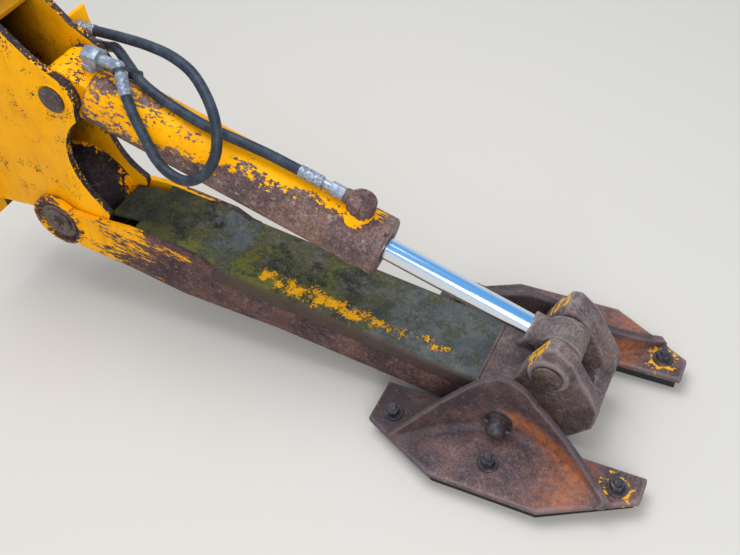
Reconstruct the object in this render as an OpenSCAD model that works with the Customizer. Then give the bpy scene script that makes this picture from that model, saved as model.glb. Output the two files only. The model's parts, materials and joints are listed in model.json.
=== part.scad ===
// Stabiliser leg of a backhoe loader: bracket, swinging leg, hydraulic cylinder and a pair of pivoting shoes.
// Millimetres. +X runs outwards from the machine, +Y forwards, +Z up.
// The origin is the middle of the weld face at the bracket's inboard end.

/* [Pivots] */
// Distance of the leg's pivot from the weld face
pivot_x = 215; // [190:1:240]
// Drop of the leg's pivot below the middle of the weld face
pivot_drop = 240; // [225:1:255]
// Slope of the leg below level as it stands on its shoes
leg_slope = 10; // [4:0.5:14]
// Cylinder's base pin, outwards from the leg's pivot
base_x = 119; // [110:1:128]
// Cylinder's base pin, above the leg's pivot
base_z = 342; // [330:1:354]
// Rod's eye along the leg from the leg's pivot
eye_u = 1125; // [1110:1:1140]
// Rod's eye above the line of the leg
eye_w = 164; // [158:1:172]
// Shoes' pin along the leg from the leg's pivot
foot_u = 1068; // [1058:1:1076]
// Shoes' pin above the line of the leg
foot_w = 20; // [14:1:26]

/* [Bracket] */
// Clearance between the leg's side plates and the bracket's
side_play = 3; // [2:0.5:5]
// Thickness of the bracket's side plates
bracket_t = 15; // [12:1:17]
// Thickness of the weld plate at the inboard end
weld_t = 15; // [12:1:20]
// Width of the weld plate
weld_w = 200; // [180:2:230]
// Height of the weld plate
weld_h = 560; // [550:2:600]
// Radius of the round head at the cylinder's base pin
head_r = 50; // [46:1:54]
// Radius of the hollow waist below that head
waist_r = 145; // [140:1:150]
// Outer radius of the curved nose plate round the leg's pivot
nose_r = 118; // [112:1:122]
// Thickness of the nose plate and of the top plate
nose_t = 10; // [8:1:12]
// Radius of the lobe that carries the leg's pin
lobe_r = 62; // [58:1:64]
// How far the nose plate reaches below level, in degrees
nose_low = 50; // [40:1:58]
// Height of the bosses round the base pin, on the plates' inner faces
base_boss_h = 11; // [8:1:13]
// Clearance between those bosses and the cylinder's lug
lug_play = 2; // [1:0.5:3]
// Height of the bracket's top plate above the base pin
bracket_top_h = 135; // [125:1:145]

/* [Leg] */
// Overall width of the leg
leg_w = 170; // [168:1:176]
// Thickness of the leg's side plates
side_t = 12; // [10:1:13]
// Thickness of the leg's top and bottom plates
web_t = 10; // [8:1:12]
// Height of the long, flat part of the leg's top
deck_w = 58; // [54:1:64]
// Height of the raised part of the leg's top near the pivot
crown_w = 73; // [68:1:77]
// Where that raised part reaches the leg's full inner width
web_start = 205; // [202:1:230]
// Where the narrow tongue of the top starts, between the bracket's plates
tongue_u = 128; // [126:1:140]
// Clearance between that tongue and the bracket's plates
tongue_play = 5; // [4:1:10]
// Where the ramp down from the raised part starts
ramp_start = 366; // [350:1:380]
// Where the ramp ends
ramp_end = 402; // [390:1:430]
// Corner radius of the pressed top
deck_r = 8; // [5:1:12]
// Depth of the pressed top's sides
deck_skirt = 34; // [30:1:40]
// Radius of the leg's eye round its pivot
eye_ring_r = 64; // [60:1:66]
// How far the eye's ring stands out of the side plate
eye_ring_h = 5; // [3:1:8]
// Radius of the recess in the eye, round the pin's end
eye_recess_r = 56; // [53:1:58]
// Depth of that recess
eye_recess_t = 8; // [6:1:10]
// Where the leg's belly is deepest
belly_u = 327; // [300:1:350]
// Depth of the belly there, below the line of the leg
belly_w = 68; // [62:1:72]
// Where the belly's slope changes, on its way up to the tip
heel_u = 564; // [540:1:590]
// Depth of the belly there
heel_w = 46; // [42:1:52]
// Depth of the belly at the tip casting
tip_w = 38; // [34:1:42]
// Distance from the end of the plates, where the tip casting begins, to the shoes' pin
tip_back = 68; // [60:1:80]

/* [Tip casting] */
// Clear width between the two ears
ear_gap = 66; // [64:1:68]
// Thickness of each ear
ear_t = 45; // [40:1:48]
// Thickness of the lower step on each ear's inner face
ear_step = 17; // [14:1:20]
// Size of that step, as a share of the ear's outline
ear_share = 0.78; // [0.74:0.01:0.84]
// Radius of the round boss at each end of the rod's pin
pin_boss_r = 40; // [36:1:42]
// Height of that boss
pin_boss_h = 11; // [8:1:12]

/* [Cylinder] */
// Outer diameter of the barrel
barrel_d = 120; // [112:1:124]
// Bore of the barrel
barrel_bore = 100; // [90:1:102]
// Distance from the base pin to the barrel's closed end
barrel_start = 60; // [58:1:64]
// Length of the barrel's tube
barrel_len = 628; // [614:1:634]
// Length of the gland nut
gland_len = 20; // [16:1:24]
// Diameter of the rod
rod_d = 45; // [40:1:50]
// Radius of the lug at the barrel's closed end
lug_r = 50; // [46:1:52]
// Outer diameter of the rod's eye
rod_eye_d = 88; // [80:1:90]
// Width of the rod's eye
rod_eye_w = 60; // [56:1:61]
// Length of the collar between rod and eye
collar_len = 34; // [28:1:40]
// Diameter of that collar
collar_d = 62; // [56:1:66]
// Length of rod hidden in the barrel
rod_hidden = 270; // [255:1:300]
// Height of the port block near the gland, from the barrel's axis
port_h = 94; // [88:1:98]
// Radius of that block
port_r = 28; // [25:1:30]
// Distance of that block back from the end of the barrel's tube
port_back = 52; // [48:1:56]

/* [Pins] */
// Diameter of the leg's pivot pin
leg_pin_d = 90; // [84:1:94]
// Diameter of the cylinder's pins
pin_d = 50; // [46:1:52]
// Diameter of the pins' heads
pin_head_d = 58; // [55:1:62]
// Thickness of the pins' heads
pin_head_t = 6; // [5:1:8]
// Diameter of the shoes' pin
foot_pin_d = 45; // [40:1:48]
// Diameter of the shoes' pin beyond its washers
foot_end_d = 39; // [34:1:41]
// Running clearance of a pin in its bore, on the radius
running = 0.05; // [0.02:0.01:0.09]

/* [Shoes] */
// Half the length of a shoe
shoe_half = 266; // [256:1:272]
// How much further a sole reaches at its outboard end
toe_len = 8; // [0:1:12]
// Thickness of a shoe's sole plate
sole_t = 14; // [12:1:18]
// Top of the sole plate below the shoes' pin
sole_drop = 28; // [26:1:32]
// Clearance between the shoes and the leg with its pins' heads
shoe_play = 7; // [5:1:10]
// Outer edge of the sole, from the leg's middle
sole_out = 264; // [250:1:272]
// Height of the shoe's wall above its sole
wall_h = 150; // [140:1:156]
// Thickness of the shoe's wall
wall_t = 14; // [12:1:16]
// Thickness of the rubber block below each sole
rubber_t = 30; // [24:1:36]
// How far the rubber stays back from the sole's edge
rubber_inset = 12; // [8:1:20]
// Reach of the shoe's bowed wall towards the machine
wall_reach_in = 205; // [195:1:215]
// Reach of that wall outwards
wall_reach_out = 235; // [220:1:240]
// Diameter of the studs that hold the rubber
stud_d = 16; // [14:1:20]
// Depth to which the studs reach into the rubber
stud_grip = 18; // [12:1:20]

/* [Hoses] */
// Outer diameter of the hoses
hose_d = 21; // [20:0.5:24]
// Diameter of the crimped ferrules
ferrule_d = 25; // [24:0.5:28]
// Width across the flats of the elbow's nut
nut_af = 36; // [32:1:40]
// Width across the flats of the nut at the gland
small_nut_af = 24; // [22:1:27]
// Diameter of the elbow's tube
tube_d = 22; // [18:1:24]
// Thickness of the tab behind the bracket that holds both hoses' ends
tab_t = 10; // [8:1:12]

/* [Hidden] */
$fn = 64;

// Routes of the two hoses, from the cylinder's end to the tab behind the bracket
base_route = [
    [497, -38, 122], [517, -54, 95], [541, -68, 57], [563, -80, 24], [595, -89, 2], [638, -93, -3],
    [677, -85, 17], [699, -68, 50], [700, -48, 85], [687, -27, 116], [658, -3, 145], [617, 21, 165],
    [560, 41, 175], [492, 61, 172], [425, 81, 162], [372, 95, 154], [329, 100, 152],
];
gland_route = [
    [833, 0, 3], [773, -2, 26], [716, -6, 46], [641, -8, 68], [578, -4, 91], [533, 3, 107], [492, 16, 120],
    [445, 44, 131], [411, 67, 135], [380, 87, 131], [355, 98, 121], [329, 100, 118],
];
// Corner of the elbow at the cylinder's base, and the start of the ferrule behind it
elbow_corner = [469, -4, 161];
elbow_end = elbow_corner + 14 * unit(base_route[0] - elbow_corner);
// Studs of one shoe: along the leg and away from it
stud_places = [[-208, 162], [8, 202], [243, 163]];
// How far the shoe's outline is shifted outwards from its pin
shoe_shift = 15;
// How far the washers on the shoes' pin stand out from it
washer_reach = 4.5;
hose_sides = 10;

// Worked out from the sizes above
leg_half = leg_w / 2;
leg_inner = leg_w - 2 * side_t;
tip_start = foot_u - tip_back;
bracket_half = leg_half - side_t - side_play;
bracket_gap = 2 * (bracket_half - bracket_t);
lug_w = bracket_gap - 2 * base_boss_h - 2 * lug_play;
eye_x = eye_u * cos(leg_slope) + eye_w * sin(leg_slope);
eye_z = eye_w * cos(leg_slope) - eye_u * sin(leg_slope);
cyl_slope = atan2(base_z - eye_z, eye_x - base_x);
cyl_len = norm([eye_x - base_x, base_z - eye_z]);
barrel_end = barrel_start + barrel_len;
gland_end = barrel_end + gland_len;
port_s = barrel_end - port_back;
ear_out = ear_gap / 2 + ear_t;
collar_start = cyl_len - rod_eye_d / 2 - collar_len + 8;
foot_x = foot_u * cos(leg_slope) + foot_w * sin(leg_slope);
foot_z = foot_w * cos(leg_slope) - foot_u * sin(leg_slope);
sole_in = leg_half + shoe_play;
wall_in = ear_out + pin_boss_h + pin_head_t + shoe_play;

// From the cylinder's own frame to the part's, and back
function in_part(p) = [
    pivot_x + base_x + p[0] * cos(cyl_slope) + p[2] * sin(cyl_slope), p[1],
    base_z - pivot_drop - p[0] * sin(cyl_slope) + p[2] * cos(cyl_slope),
];
function in_cylinder(p) = let (x = p[0] - pivot_x - base_x, z = p[2] - base_z + pivot_drop)
    [x * cos(cyl_slope) - z * sin(cyl_slope), p[1], x * sin(cyl_slope) + z * cos(cyl_slope)];

// Frames of the moving pieces
module at_pivot() { translate([pivot_x, 0, -pivot_drop]) children(); }
module along_leg() { at_pivot() rotate([0, leg_slope, 0]) children(); }
module along_cylinder() { at_pivot() translate([base_x, 0, base_z]) rotate([0, cyl_slope, 0]) children(); }
module at_foot() { at_pivot() translate([foot_x, 0, foot_z]) children(); }
module mirrored(far) { mirror([0, far ? 1 : 0, 0]) children(); }

// An outline drawn in X and Z, made a plate from y0 to y0 + t
module plate(y0, t) { translate([0, y0 + t, 0]) rotate([90, 0, 0]) linear_extrude(t) children(); }
// A round bar along Y from y0 to y1
module bar_y(r, y0, y1) { translate([0, y1, 0]) rotate([90, 0, 0]) cylinder(r = r, h = y1 - y0); }
// A round bar along X from x0 to x1
module bar_x(r, x0, x1) { translate([x0, 0, 0]) rotate([0, 90, 0]) cylinder(r = r, h = x1 - x0); }
// A round bar, or with sides = 6 a hexagon, from point p to point q
module bar(r, p, q, sides = $fn) {
    d = q - p;
    translate(p) rotate([0, acos(d[2] / norm(d)), atan2(d[1], d[0])]) cylinder(r = r, h = norm(d), $fn = sides);
}

module bracket_plate(far) {
    color("gold") mirrored(far) at_pivot() difference() {
        union() {
            plate(-bracket_half, bracket_t) polygon([
                [weld_t - pivot_x, 0], [-lobe_r, 8], [0, -20], [120, -10], [150, 48], [112, 104], [140, 200],
                [base_x + head_r - 9, base_z - 40], [base_x + head_r - 2, base_z], [base_x + 34, base_z + 47],
                [97, base_z + 85], [53, base_z + bracket_top_h], [12, weld_h - 40], [weld_t - pivot_x, weld_h - 40],
            ]);
            if (far) plate(-bracket_half, bracket_t) polygon([
                [80, 140], [111, 164], [145, 124], [160, 86], [158, 40], [130, -6], [80, 0],
            ]);
            bar_y(lobe_r, -bracket_half, -bracket_half + bracket_t);
            translate([base_x, 0, base_z]) {
                bar_y(head_r, -bracket_half, -bracket_half + bracket_t);
                bar_y(head_r - 2, -bracket_half + 1, -bracket_half + bracket_t + base_boss_h);
            }
        }
        translate([base_x + head_r + 71, 0, base_z - 167]) bar_y(waist_r, -leg_w, 0);
        translate([base_x, 0, base_z]) bar_y(pin_d / 2, -leg_w, 0);
        bar_y(leg_pin_d / 2, -leg_w, 0);
    }
}
module weld_plate() {
    color("gold") translate([0, -weld_w / 2, -weld_h / 2]) cube([weld_t, weld_w, weld_h]);
}
module nose_plate() {
    half = bracket_gap / 2;
    color("dimgray") at_pivot() {
        difference() {
            bar_y(nose_r, -half, half);
            bar_y(nose_r - nose_t, -half - 1, half + 1);
            plate(-half - 1, bracket_gap + 2) polygon([
                [0, 0], [2, 2 * nose_r], [-2 * nose_r, 2 * nose_r], [-2 * nose_r, -2 * nose_r],
                [2 * nose_r * cos(nose_low), -2 * nose_r * sin(nose_low)],
            ]);
        }
        translate([weld_t - pivot_x, -half, nose_r - nose_t - 1]) cube([pivot_x - weld_t + 8, bracket_gap, nose_t]);
    }
}
module bracket_top_plate() {
    color("gold") at_pivot() translate([weld_t - pivot_x, -bracket_gap / 2, base_z + bracket_top_h])
        cube([pivot_x + 5, bracket_gap, nose_t]);
}
module leg_pin() {
    end = leg_half - eye_recess_t + eye_ring_h + 4;
    color("saddlebrown") at_pivot() difference() {
        union() {
            bar_y(leg_pin_d / 2, -end, end);
            bar_y(leg_pin_d / 2 - 11, -end - 4, end + 4);
        }
        for (y = [-end - 5, end + 3]) bar_y(leg_pin_d / 2 - 22, y, y + 2);
    }
}
// A pin of radius r between two outer faces, with a disc head at each end
module headed_pin(r, half) {
    bar_y(r, -half, half);
    for (y = [-half - pin_head_t, half]) bar_y(pin_head_d / 2, y, y + pin_head_t);
}
module base_pin() {
    color("dimgray") at_pivot() translate([base_x, 0, base_z]) headed_pin(pin_d / 2, bracket_half);
}

module leg_side(far) {
    color("saddlebrown") mirrored(far) along_leg() difference() {
        union() {
            plate(-leg_half, side_t) polygon([
                [20, -40], [-20, 40], [45, 50], [93, 54], [tongue_u, crown_w - 14], [web_start - 15, crown_w - 2],
                [web_start + 20, crown_w], [ramp_start, crown_w], [ramp_end, deck_w],
                [ramp_end, deck_w - deck_skirt], [tip_start, deck_w - deck_skirt], [tip_start, -tip_w],
                [heel_u, -heel_w], [belly_u, -belly_w], [180, 10 - belly_w], [50, 9 - belly_w],
            ]);
            bar_y(eye_ring_r, -leg_half - eye_ring_h, -leg_half + side_t);
        }
        bar_y(leg_pin_d / 2 + running, -leg_w, 0);
        bar_y(eye_recess_r, -leg_w, -leg_half - eye_ring_h + eye_recess_t);
    }
}
// Cross-section of the pressed top: flat deck, round corners, short skirts
module deck_section() {
    difference() {
        union() {
            translate([-deck_w, -leg_half + deck_r]) square([deck_skirt, leg_w - 2 * deck_r]);
            translate([-deck_w + deck_r, -leg_half]) square([deck_skirt - deck_r, leg_w]);
            for (s = [-1, 1]) translate([-deck_w + deck_r, s * (leg_half - deck_r)]) intersection() {
                circle(deck_r);
                translate([-deck_r, -deck_r]) square([deck_r, 2 * deck_r]);
            }
        }
        translate([-deck_w + web_t, -leg_half + side_t]) square([deck_skirt, leg_inner]);
    }
}
module leg_top() {
    tongue_half = bracket_gap / 2 - tongue_play;
    under = crown_w - web_t;
    color("darkolivegreen") along_leg() {
        translate([ramp_end, 0, 0]) rotate([0, 90, 0]) linear_extrude(tip_start - ramp_end) deck_section();
        plate(-leg_inner / 2, leg_inner) polygon([
            [web_start, under], [web_start, crown_w], [ramp_start, crown_w], [ramp_end, deck_w],
            [ramp_end, deck_w - web_t], [ramp_start, under],
        ]);
        plate(-tongue_half, 2 * tongue_half) polygon([
            [tongue_u, under - 14], [tongue_u, crown_w - 14], [web_start - 15, crown_w], [web_start + 5, crown_w],
            [web_start + 5, under], [web_start - 15, under],
        ]);
    }
}
module leg_bottom() {
    color("saddlebrown") along_leg() plate(-leg_inner / 2, leg_inner) polygon([
        [web_start + 15, 7 - belly_w], [belly_u, -belly_w], [heel_u, -heel_w], [tip_start, -tip_w],
        [tip_start, web_t - tip_w], [heel_u, web_t - heel_w], [belly_u, web_t - belly_w],
        [web_start + 15, web_t + 7 - belly_w],
    ]);
}
// One ear of the tip's fork, seen from the side
module ear_outline() {
    polygon([
        [tip_start + 18, deck_w - 8], [eye_u - 60, eye_w - 60], [eye_u - 49, eye_w - 11], [eye_u - 19, eye_w + 63],
        [eye_u, eye_w + 68], [eye_u + 36, eye_w + 44], [eye_u + 60, eye_w + 9], [eye_u + 84, eye_w - 22],
        [eye_u + 105, eye_w - 54], [eye_u + 109, eye_w - 82], [eye_u + 107, eye_w - 114], [eye_u + 75, 0],
        [eye_u + 25, 4 - tip_w], [tip_start + 18, 4 - tip_w],
    ]);
}
module tip_casting() {
    step_half = ear_gap / 2 + ear_step;
    color("sienna") along_leg() difference() {
        union() {
            plate(-leg_half, leg_w) polygon([
                [tip_start, -tip_w], [tip_start, deck_w], [foot_u - 8, deck_w], [eye_u - 5, 70],
                [eye_u - 5, 2 - tip_w],
            ]);
            for (s = [-1, 1]) {
                plate(s < 0 ? -ear_out : step_half, ear_t - ear_step) ear_outline();
                plate(s < 0 ? -step_half - 1 : ear_gap / 2, ear_step + 1) intersection() {
                    ear_outline();
                    translate([eye_u, eye_w]) scale(ear_share) translate([-eye_u, -eye_w]) ear_outline();
                }
            }
            plate(-step_half - 1, 2 * step_half + 2) polygon([
                [tip_start + 18, 2 - tip_w], [tip_start + 18, deck_w], [eye_u + 25, 72], [eye_u + 80, 92],
                [eye_u + 108, 72], [eye_u + 107, 50], [eye_u + 75, 0], [eye_u + 25, 4 - tip_w],
            ]);
            translate([eye_u, 0, eye_w]) for (s = [-1, 1])
                bar_y(pin_boss_r, s < 0 ? -ear_out - pin_boss_h : ear_out, s < 0 ? -ear_out : ear_out + pin_boss_h);
        }
        translate([eye_u, 0, eye_w]) bar_y(pin_d / 2, -leg_w, leg_w);
        translate([foot_u, 0, foot_w]) bar_y(foot_pin_d / 2 + running, -leg_w, leg_w);
    }
}
// Each end of the rod's pin: a stub through the ear and its head
module rod_pin(far) {
    color("dimgray") mirrored(far) along_leg() translate([eye_u, 0, eye_w]) {
        bar_y(pin_d / 2, -ear_out - pin_boss_h, -ear_gap / 2);
        bar_y(pin_head_d / 2, -ear_out - pin_boss_h - pin_head_t, -ear_out - pin_boss_h);
    }
}

module base_lug() {
    half = lug_w / 2;
    boss_s = barrel_start - 18;
    color("gold") along_cylinder() difference() {
        union() {
            bar_y(lug_r, -half, half);
            translate([0, -half, 4 - lug_r]) cube([barrel_start, lug_w, 2 * lug_r - 8]);
            translate([barrel_start - 9, 0, 0]) rotate([0, 90, 0]) cylinder(r1 = half + 2, r2 = half + 14, h = 9);
            translate([boss_s, 0, 0]) cylinder(r = 17, h = barrel_d / 2 + 1);
        }
        bar_y(pin_d / 2 + running, -lug_w, lug_w);
    }
}
module barrel() {
    color("gold") along_cylinder() difference() {
        bar_x(barrel_d / 2, barrel_start, barrel_start + barrel_len);
        bar_x(barrel_bore / 2, barrel_start + 18, barrel_start + barrel_len + 1);
    }
}
module gland_nut() {
    slot = 9;
    color("saddlebrown") along_cylinder() difference() {
        union() {
            bar_x(barrel_d / 2, barrel_end, gland_end - 5);
            translate([gland_end - 5, 0, 0]) rotate([0, 90, 0]) cylinder(r1 = barrel_d / 2, r2 = barrel_d / 2 - 5, h = 5);
        }
        bar_x(rod_d / 2 + running, barrel_end - 1, gland_end + 1);
        bar_x(rod_d / 2 + 9, gland_end - 4, gland_end + 1);
        for (k = [0:3]) rotate([k * 90 + 20, 0, 0]) translate([gland_end - slot, -slot / 2, barrel_d / 2 - 8])
            cube([slot + 1, slot, 10]);
    }
}
module gland_port() {
    color("gold") along_cylinder() difference() {
        union() {
            translate([port_s, 0, 0]) cylinder(r = port_r, h = port_h - 3);
            translate([port_s, 0, port_h - 3]) cylinder(r1 = port_r, r2 = port_r - 3, h = 3);
            translate([port_s, 0, barrel_d / 2 - 12]) cylinder(r1 = port_r + 12, r2 = port_r, h = 16);
            bar(15, [port_s - 36, 0, port_h - 14], [port_s, 0, port_h - 14]);
        }
        bar_x(barrel_d / 2, 0, gland_end);
    }
}
module rod() {
    color("silver") along_cylinder() bar_x(rod_d / 2, gland_end - rod_hidden, collar_start);
}
module rod_eye() {
    color("dimgray") along_cylinder() difference() {
        union() {
            bar_x(collar_d / 2, collar_start, cyl_len - 20);
            translate([cyl_len, 0, 0]) bar_y(rod_eye_d / 2, -rod_eye_w / 2, rod_eye_w / 2);
        }
        translate([cyl_len, 0, 0]) bar_y(pin_d / 2, -rod_eye_w, rod_eye_w);
    }
}
// The middle of the rod's pin, which stays in the eye
module rod_bush() {
    color("dimgray") along_cylinder() translate([cyl_len, 0, 0]) bar_y(pin_d / 2, -rod_eye_w / 2, rod_eye_w / 2);
}

module base_elbow() {
    boss_s = barrel_start - 18;
    corner = in_cylinder(elbow_corner);
    nut_end = [barrel_start + 4, 0, 91];
    nut_start = nut_end - 36 * (corner - nut_end) / norm(corner - nut_end);
    color("lightsteelblue") along_cylinder() {
        translate([boss_s, 0, barrel_d / 2 + 1]) cylinder(r = nut_af / sqrt(3), h = 14, $fn = 6);
        bar(nut_af / sqrt(3), nut_start, nut_end, 6);
        bar(tube_d / 2, nut_end, corner);
        translate(corner) sphere(r = tube_d / 2 + 1);
        bar(tube_d / 2, corner, in_cylinder(elbow_end));
    }
}
module base_ferrule() { color("lightsteelblue") bar(ferrule_d / 2, elbow_end, base_route[0]); }
// Nut and stub between the gland's port block and its hose
module gland_fitting() {
    s1 = port_s - 36;
    up = port_h - 14;
    color("lightsteelblue") along_cylinder() {
        bar_at_port(small_nut_af / sqrt(3), s1 - 30, s1, up, 6);
        bar_at_port(tube_d / 2 - 2, s1 - 47, s1 - 30, up, $fn);
    }
}
module bar_at_port(r, s0, s1, up, sides) { bar(r, [s0, 0, up], [s1, 0, up], sides); }
module gland_ferrule() {
    color("lightsteelblue") bar(ferrule_d / 2, in_part([port_s - 83, 0, port_h - 14]), gland_route[0]);
}
// Tab on the outer face of the far bracket plate, with the unions that both hoses end in
tab_x = 275;
tab_points = [base_route[len(base_route) - 1], gland_route[len(gland_route) - 1]];
module hose_tab() {
    color("gold") difference() {
        translate([tab_x, bracket_half, tab_points[1][2] - 33]) cube([tab_t, 65, 100]);
        for (p = tab_points) translate([0, p[1], p[2]]) bar_x(tube_d / 2, tab_x - 1, tab_x + tab_t + 1);
    }
}
module tab_unions() {
    color("lightsteelblue") for (p = tab_points) translate([0, p[1], p[2]]) {
        bar_x(tube_d / 2, tab_x - 24, tab_x + tab_t);
        for (x = [tab_x - 10, tab_x + tab_t]) translate([x, 0, 0]) rotate([0, 90, 0])
            cylinder(r = small_nut_af / sqrt(3) + 3, h = x < tab_x ? 10 : 14, $fn = 6);
    }
}
module tab_ferrules() {
    color("lightsteelblue") for (p = tab_points)
        translate([0, p[1], p[2]]) bar_x(ferrule_d / 2, tab_x + tab_t + 14, p[0]);
}
// A hose is swept along its route: rings square to it, carried on from ring to ring without a twist
function unit(v) = v / norm(v);
function heading(p, i, first, last) =
    i == 0 ? first : i == len(p) - 1 ? last : unit(unit(p[i + 1] - p[i]) + unit(p[i] - p[i - 1]));
function ring_side(p, i, first, last) =
    let (t = heading(p, i, first, last), s = i == 0 ? [0, 0, 1] : ring_side(p, i - 1, first, last))
    unit(s - (s * t) * t);
module hose(p, first, last) {
    n = hose_sides;
    rings = [for (i = [0:len(p) - 1])
        let (t = heading(p, i, first, last), s = ring_side(p, i, first, last), b = cross(t, s))
        for (k = [0:n - 1]) p[i] + hose_d / 2 * (cos(k * 360 / n) * s + sin(k * 360 / n) * b)];
    sides = [for (i = [0:len(p) - 2], k = [0:n - 1])
        let (a = i * n + k, b = i * n + (k + 1) % n) [b, a, a + n, b + n]];
    color("midnightblue") polyhedron(
        points = rings,
        faces = concat(sides, [[for (k = [0:n - 1]) k], [for (k = [n - 1:-1:0]) len(p) * n - n + k]])
    );
}
module base_hose() { hose(base_route, unit(base_route[0] - elbow_end), [-1, 0, 0]); }
module gland_hose() {
    hose(gland_route, unit(gland_route[0] - in_part([port_s - 83, 0, port_h - 14])), [-1, 0, 0]);
}

// Plan of the sole, drawn on the far side: X along the leg, Y away from it
module sole_plan(inset) {
    toe = shoe_half + toe_len;
    polygon([
        [-shoe_half + inset, sole_in + inset], [-shoe_half + inset, 190 - inset],
        [-110 + inset / 2, sole_out - inset], [110 - inset / 2, sole_out - inset],
        [toe - inset, 176 - inset], [toe - inset, 122 + inset], [130, 122 + inset],
        [100, sole_in + inset],
    ]);
}
// How far the shoe's wall stands from the leg's middle, x along the shoe
function wall_share(x) = abs(x) / (x < 0 ? wall_reach_in : wall_reach_out);
function wall_y(x) = wall_in + 104 * pow(wall_share(x), 1.7);
module wall_plan() {
    steps = [for (i = [-10:11]) i * 21];
    polygon(concat(
        [for (x = steps) [x, wall_y(x)]],
        [for (i = [len(steps) - 1:-1:0]) let (x = steps[i]) [x, wall_y(x) + wall_t + 6 * pow(wall_share(x), 2)]]
    ));
}
module shoe(far) {
    pin_r = foot_pin_d / 2;
    color("sienna") mirrored(!far) at_foot() difference() {
        translate([shoe_shift, 0, -sole_drop - sole_t]) union() {
            linear_extrude(sole_t) sole_plan(0);
            intersection() {
                linear_extrude(sole_t + wall_h) intersection() {
                    wall_plan();
                    sole_plan(0);
                }
                plate(0, 300) polygon([
                    [-215, 0], [-215, sole_t + 4], [-75, sole_t + 118], [-48, sole_t + 140], [-20, sole_t + wall_h],
                    [5, sole_t + wall_h], [34, sole_t + 138], [60, sole_t + 112], [235, sole_t + 4], [235, 0],
                ]);
            }
            translate([-shoe_shift, 0, sole_drop + sole_t]) bar_y(pin_r + 9.5, wall_in, wall_in + wall_t + 5);
        }
        bar_y(pin_r, 0, 300);
        bar_y(pin_r + washer_reach + 0.5, wall_in + wall_t + 5, 300);
        for (p = stud_places) translate([p[0], p[1], -sole_drop - sole_t - 1]) cylinder(r = stud_d / 2, h = sole_t + 2);
    }
}
// The shoes' pin: at each end two washers, a cross bar and a domed end
module foot_pin() {
    face = wall_in + wall_t + 5;
    r = foot_end_d / 2;
    color("dimgray") at_foot() {
        bar_y(foot_pin_d / 2, -face, face);
        for (s = [-1, 1]) mirror([0, s < 0 ? 1 : 0, 0]) {
            bar_y(foot_pin_d / 2 + washer_reach, face, face + 4);
            bar_y(foot_pin_d / 2 + washer_reach - 3, face + 4, face + 8);
            bar_y(r, face + 8, face + 20);
            translate([0, face + 20, 0]) sphere(r = r);
            translate([0, face + 14, 0]) rotate([0, 20, 0]) bar_x(5, -r - 9, r + 9);
        }
    }
}
module rubber(far) {
    color("black") mirrored(!far) at_foot() difference() {
        translate([shoe_shift, 0, -sole_drop - sole_t - rubber_t]) linear_extrude(rubber_t) sole_plan(rubber_inset);
        for (p = stud_places) translate([p[0], p[1], -sole_drop - sole_t - stud_grip])
            cylinder(r = stud_d / 2, h = stud_grip + 1);
    }
}
module studs(far) {
    color("dimgray") mirrored(!far) at_foot() for (p = stud_places) translate([p[0], p[1], -sole_drop]) {
        translate([0, 0, -sole_t - stud_grip]) cylinder(r = stud_d / 2, h = sole_t + stud_grip + 26);
        cylinder(r = stud_d / 2 + 12.5, h = 4);
        cylinder(r = stud_d / 2 + 6, h = 17, $fn = 6);
    }
}

weld_plate();
bracket_plate(false);  // bracket_plate_near
bracket_plate(true);  // bracket_plate_far
nose_plate();
bracket_top_plate();
leg_pin();
base_pin();
leg_side(false);  // leg_side_near
leg_side(true);  // leg_side_far
leg_top();
leg_bottom();
tip_casting();
rod_pin(false);  // rod_pin_near
rod_pin(true);  // rod_pin_far
base_lug();
barrel();
gland_nut();
gland_port();
rod();
rod_eye();
rod_bush();
base_elbow();
base_ferrule();
gland_fitting();
gland_ferrule();
hose_tab();
tab_unions();
tab_ferrules();
base_hose();
gland_hose();
shoe(false);  // shoe_near
shoe(true);  // shoe_far
foot_pin();
rubber(false);  // rubber_near
rubber(true);  // rubber_far
studs(false);  // studs_near
studs(true);  // studs_far
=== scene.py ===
import json
import math
import bmesh
import bpy
import numpy as np
from mathutils import Matrix, Vector


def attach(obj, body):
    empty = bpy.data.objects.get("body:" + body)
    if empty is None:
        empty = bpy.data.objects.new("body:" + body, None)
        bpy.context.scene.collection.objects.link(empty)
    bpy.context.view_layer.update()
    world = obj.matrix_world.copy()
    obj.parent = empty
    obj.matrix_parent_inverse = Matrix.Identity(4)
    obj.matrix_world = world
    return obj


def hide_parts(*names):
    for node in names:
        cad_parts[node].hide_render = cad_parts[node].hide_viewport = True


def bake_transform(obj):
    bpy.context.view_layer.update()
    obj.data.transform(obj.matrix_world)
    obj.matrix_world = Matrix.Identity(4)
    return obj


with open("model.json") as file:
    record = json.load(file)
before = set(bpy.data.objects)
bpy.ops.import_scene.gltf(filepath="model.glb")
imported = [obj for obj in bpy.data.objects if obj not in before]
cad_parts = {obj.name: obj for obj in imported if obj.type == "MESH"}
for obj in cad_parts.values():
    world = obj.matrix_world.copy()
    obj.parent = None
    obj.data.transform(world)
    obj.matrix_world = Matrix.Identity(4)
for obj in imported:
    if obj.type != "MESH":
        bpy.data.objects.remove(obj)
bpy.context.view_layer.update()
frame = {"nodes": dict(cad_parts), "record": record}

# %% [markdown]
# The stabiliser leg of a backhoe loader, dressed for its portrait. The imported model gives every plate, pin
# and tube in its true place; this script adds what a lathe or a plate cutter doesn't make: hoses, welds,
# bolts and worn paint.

MM = 0.001

# %% [markdown]
# Colours are written as the hex values that a screen shows. Shaders reckon in linear light, so one function
# turns each value with the sRGB curve. A second one adds any shader node: its settings, its values and its
# links. Every finish below is built with these two, so that each line shows which node of Blender it adds.

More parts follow.
